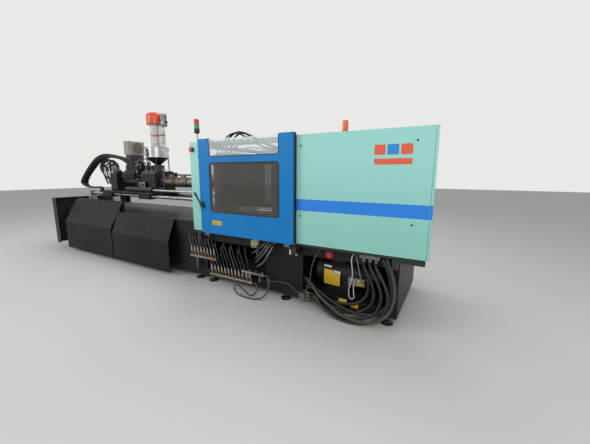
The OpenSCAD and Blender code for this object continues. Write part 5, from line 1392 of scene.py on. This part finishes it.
extraHoses = {  # route in millimetres, diameter, body, slot, finish name
    "shinyHose0": ([
        (1745, -606, 706), (1742, -655, 700), (1700, -690, 630), (1630, -692, 550), (1555, -665, 490),
        (1490, -600, 450), (1450, -480, 425), (1412, -370, 450), (1392, -325, 520), (1388, -320, 599),
    ], 27, "machine", "hose_black", "wetRubber"),
    "shinyHose1": ([
        (1785, -606, 706), (1780, -662, 698), (1738, -712, 610), (1660, -722, 520), (1575, -690, 450),
        (1500, -610, 415), (1440, -480, 390), (1390, -370, 410), (1352, -325, 500), (1346, -320, 599),
    ], 27, "machine", "hose_black", "wetRubber"),
    "shinyHose2": ([
        (1825, -606, 706), (1820, -668, 690), (1790, -730, 590), (1720, -748, 480), (1610, -712, 410),
        (1510, -620, 380), (1430, -480, 360), (1356, -370, 390), (1312, -325, 490), (1304, -320, 599),
    ], 27, "machine", "hose_black", "wetRubber"),
    "shinyHose3": ([
        (1715, -606, 706), (1706, -650, 700), (1650, -676, 650), (1580, -676, 590), (1500, -650, 545),
        (1430, -600, 520), (1370, -480, 500), (1304, -380, 490), (1266, -325, 530), (1260, -320, 599),
    ], 22, "machine", "hose_black", "wetRubber"),
    "frameHose": ([
        (1648, -606, 205), (1700, -632, 215), (1860, -640, 236), (2000, -640, 232), (2060, -645, 200),
        (2110, -650, 168), (2159, -650, 160)], 12, "machine", "hose_grey", None),
    "portHose": ([
        (2400, -606, 706), (2394, -650, 700), (2338, -668, 600), (2300, -660, 480), (2276, -648, 330),
        (2240, -640, 230), (2205, -645, 191)], 13, "machine", "hose_grey", None),
    "paleCable": ([
        (2760, -606, 706), (2760, -650, 700), (2748, -668, 649), (2761, -660, 482), (2725, -640, 344),
        (2718, -620, 240), (2740, -605, 206), (2766, -596, 224), (2756, -580, 262), (2740, -545, 320),
        (2725, -475, 380)], 10, "machine", "hose_grey", "labelWhite"),
    "darkCable": ([
        (2785, -606, 706), (2790, -650, 700), (2829, -664, 551), (2852, -640, 420), (2852, -560, 392),
        (2850, -407, 390)], 9, "machine", "hose_grey", "greyPlastic"),
    "bayHose0": ([
        (3045, -606, 706), (3050, -650, 694), (3116, -664, 560), (3150, -672, 400), (3120, -680, 250),
        (3010, -690, 140), (2850, -690, 106), (2680, -676, 120), (2520, -660, 170), (2400, -640, 225),
        (2290, -600, 262), (2200, -560, 270), (2165, -550, 270)], 34, "machine", "hose_black", None),
    "bayHose1": ([
        (3085, -606, 706), (3092, -655, 690), (3160, -690, 540), (3190, -712, 380), (3150, -736, 210),
        (3030, -752, 90), (2860, -760, 60), (2680, -750, 80), (2520, -720, 150), (2400, -690, 210),
        (2290, -630, 290), (2200, -560, 310), (2165, -550, 310),
    ], 30, "machine", "hose_black", "oliveWebbing"),
    "bayHose2": ([
        (2830, -606, 706), (2830, -640, 692), (2880, -640, 560), (2920, -640, 420), (2900, -640, 280),
        (2800, -642, 185), (2640, -640, 150), (2480, -636, 170), (2370, -610, 205), (2290, -575, 216),
        (2200, -560, 225), (2165, -550, 225)], 30, "machine", "hose_black", None),
    "topHose0": ([
        (845, -250, 1781), (845, -250, 1850), (905, -250, 1965), (1010, -240, 2030), (1130, -195, 2008),
        (1240, -100, 1935), (1330, 50, 1880), (1390, 240, 1858), (1440, 560, 1858), (1440, 641, 1855),
    ], 24, "machine", "hose_black", None),
    "topHose1": ([
        (760, -330, 1781), (760, -330, 1840), (800, -330, 1930), (890, -320, 2010), (1010, -290, 2025),
        (1120, -230, 1965), (1210, -120, 1890), (1280, 40, 1850), (1340, 300, 1845), (1360, 560, 1855),
        (1360, 641, 1855)], 20, "machine", "hose_black", None),
    "topHose2": ([
        (890, -180, 1781), (890, -180, 1850), (950, -185, 1945), (1050, -180, 1995), (1170, -140, 1975),
        (1280, -50, 1915), (1370, 90, 1872), (1430, 280, 1855), (1480, 560, 1858), (1480, 641, 1855),
    ], 20, "machine", "hose_grey", None),
    "topHose3": ([
        (720, -380, 1781), (722, -384, 1820), (760, -400, 1880), (850, -420, 1925), (960, -420, 1900),
        (1040, -390, 1840), (1090, -330, 1810), (1120, -240, 1835), (1180, 40, 1850), (1240, 560, 1858),
        (1240, 641, 1855)], 16, "machine", "hose_black", None),
}
for index in range(6):
    # Oil hoses that loop from the valve stack over the drive and back to the saddle
    shift = index * 27
    fan = index * 18
    high = (0, 26, 8, 34, 14, 44)[index]
    last = -232 - fan * 0.45
    extraHoses[f"unitHose{index}"] = (
        [(-1800 + shift, -141, 1641), (-1808 + shift, -150, 1690 + high),
         (-1930, -200 - fan / 2, 1766 + high), (-2180, -236 - fan, 1796 + high),
         (-2480, -240 - fan, 1736 + high), (-2760, -240 - fan, 1584 + high),
         (-2990 - high, -240 - fan, 1430), (-3090 - high, -240 - fan, 1310), (-3040, -236 - fan * 0.7, 1236),
         (-2840, last, 1214), (-2670, last, 1222), (-2578, last, 1220), (-2540, last, 1204),
         (-2532, last, 1166)],
        34 if index % 2 else 30, "carriage", "hose_black", "oliveWebbing" if index == 5 else None)
for index in range(5):
    # Short loops from the screw motor's unions round to its back
    shift = index * 22
    extraHoses[f"motorHose{index}"] = (
        [(-2400 + shift, -10, 1536), (-2402 + shift, -32, 1640 + shift / 2),
         (-2460, -60 - shift / 2, 1720 + shift / 2), (-2590, -90 - shift / 2, 1730 + shift / 2),
         (-2700 - shift / 3, -100 - shift / 2, 1640), (-2740 - shift / 3, -90, 1500),
         (-2690, -50 + shift / 2, 1392), (-2572, -20 + shift / 3, 1372)],
        20, "injection_head", "hose_black", "bluePlastic" if index == 2 else None)

dressManifolds()
dressFrame()
dressPump()
dressCluster()
dressCovers()
dressFeet()
for name, (points, diameter, body, slotName, finish) in extraHoses.items():
    layHose(name, [[c * millimetre for c in p] for p in points], diameter * millimetre, body, slotName,
            finish=extras[finish] if finish else None)
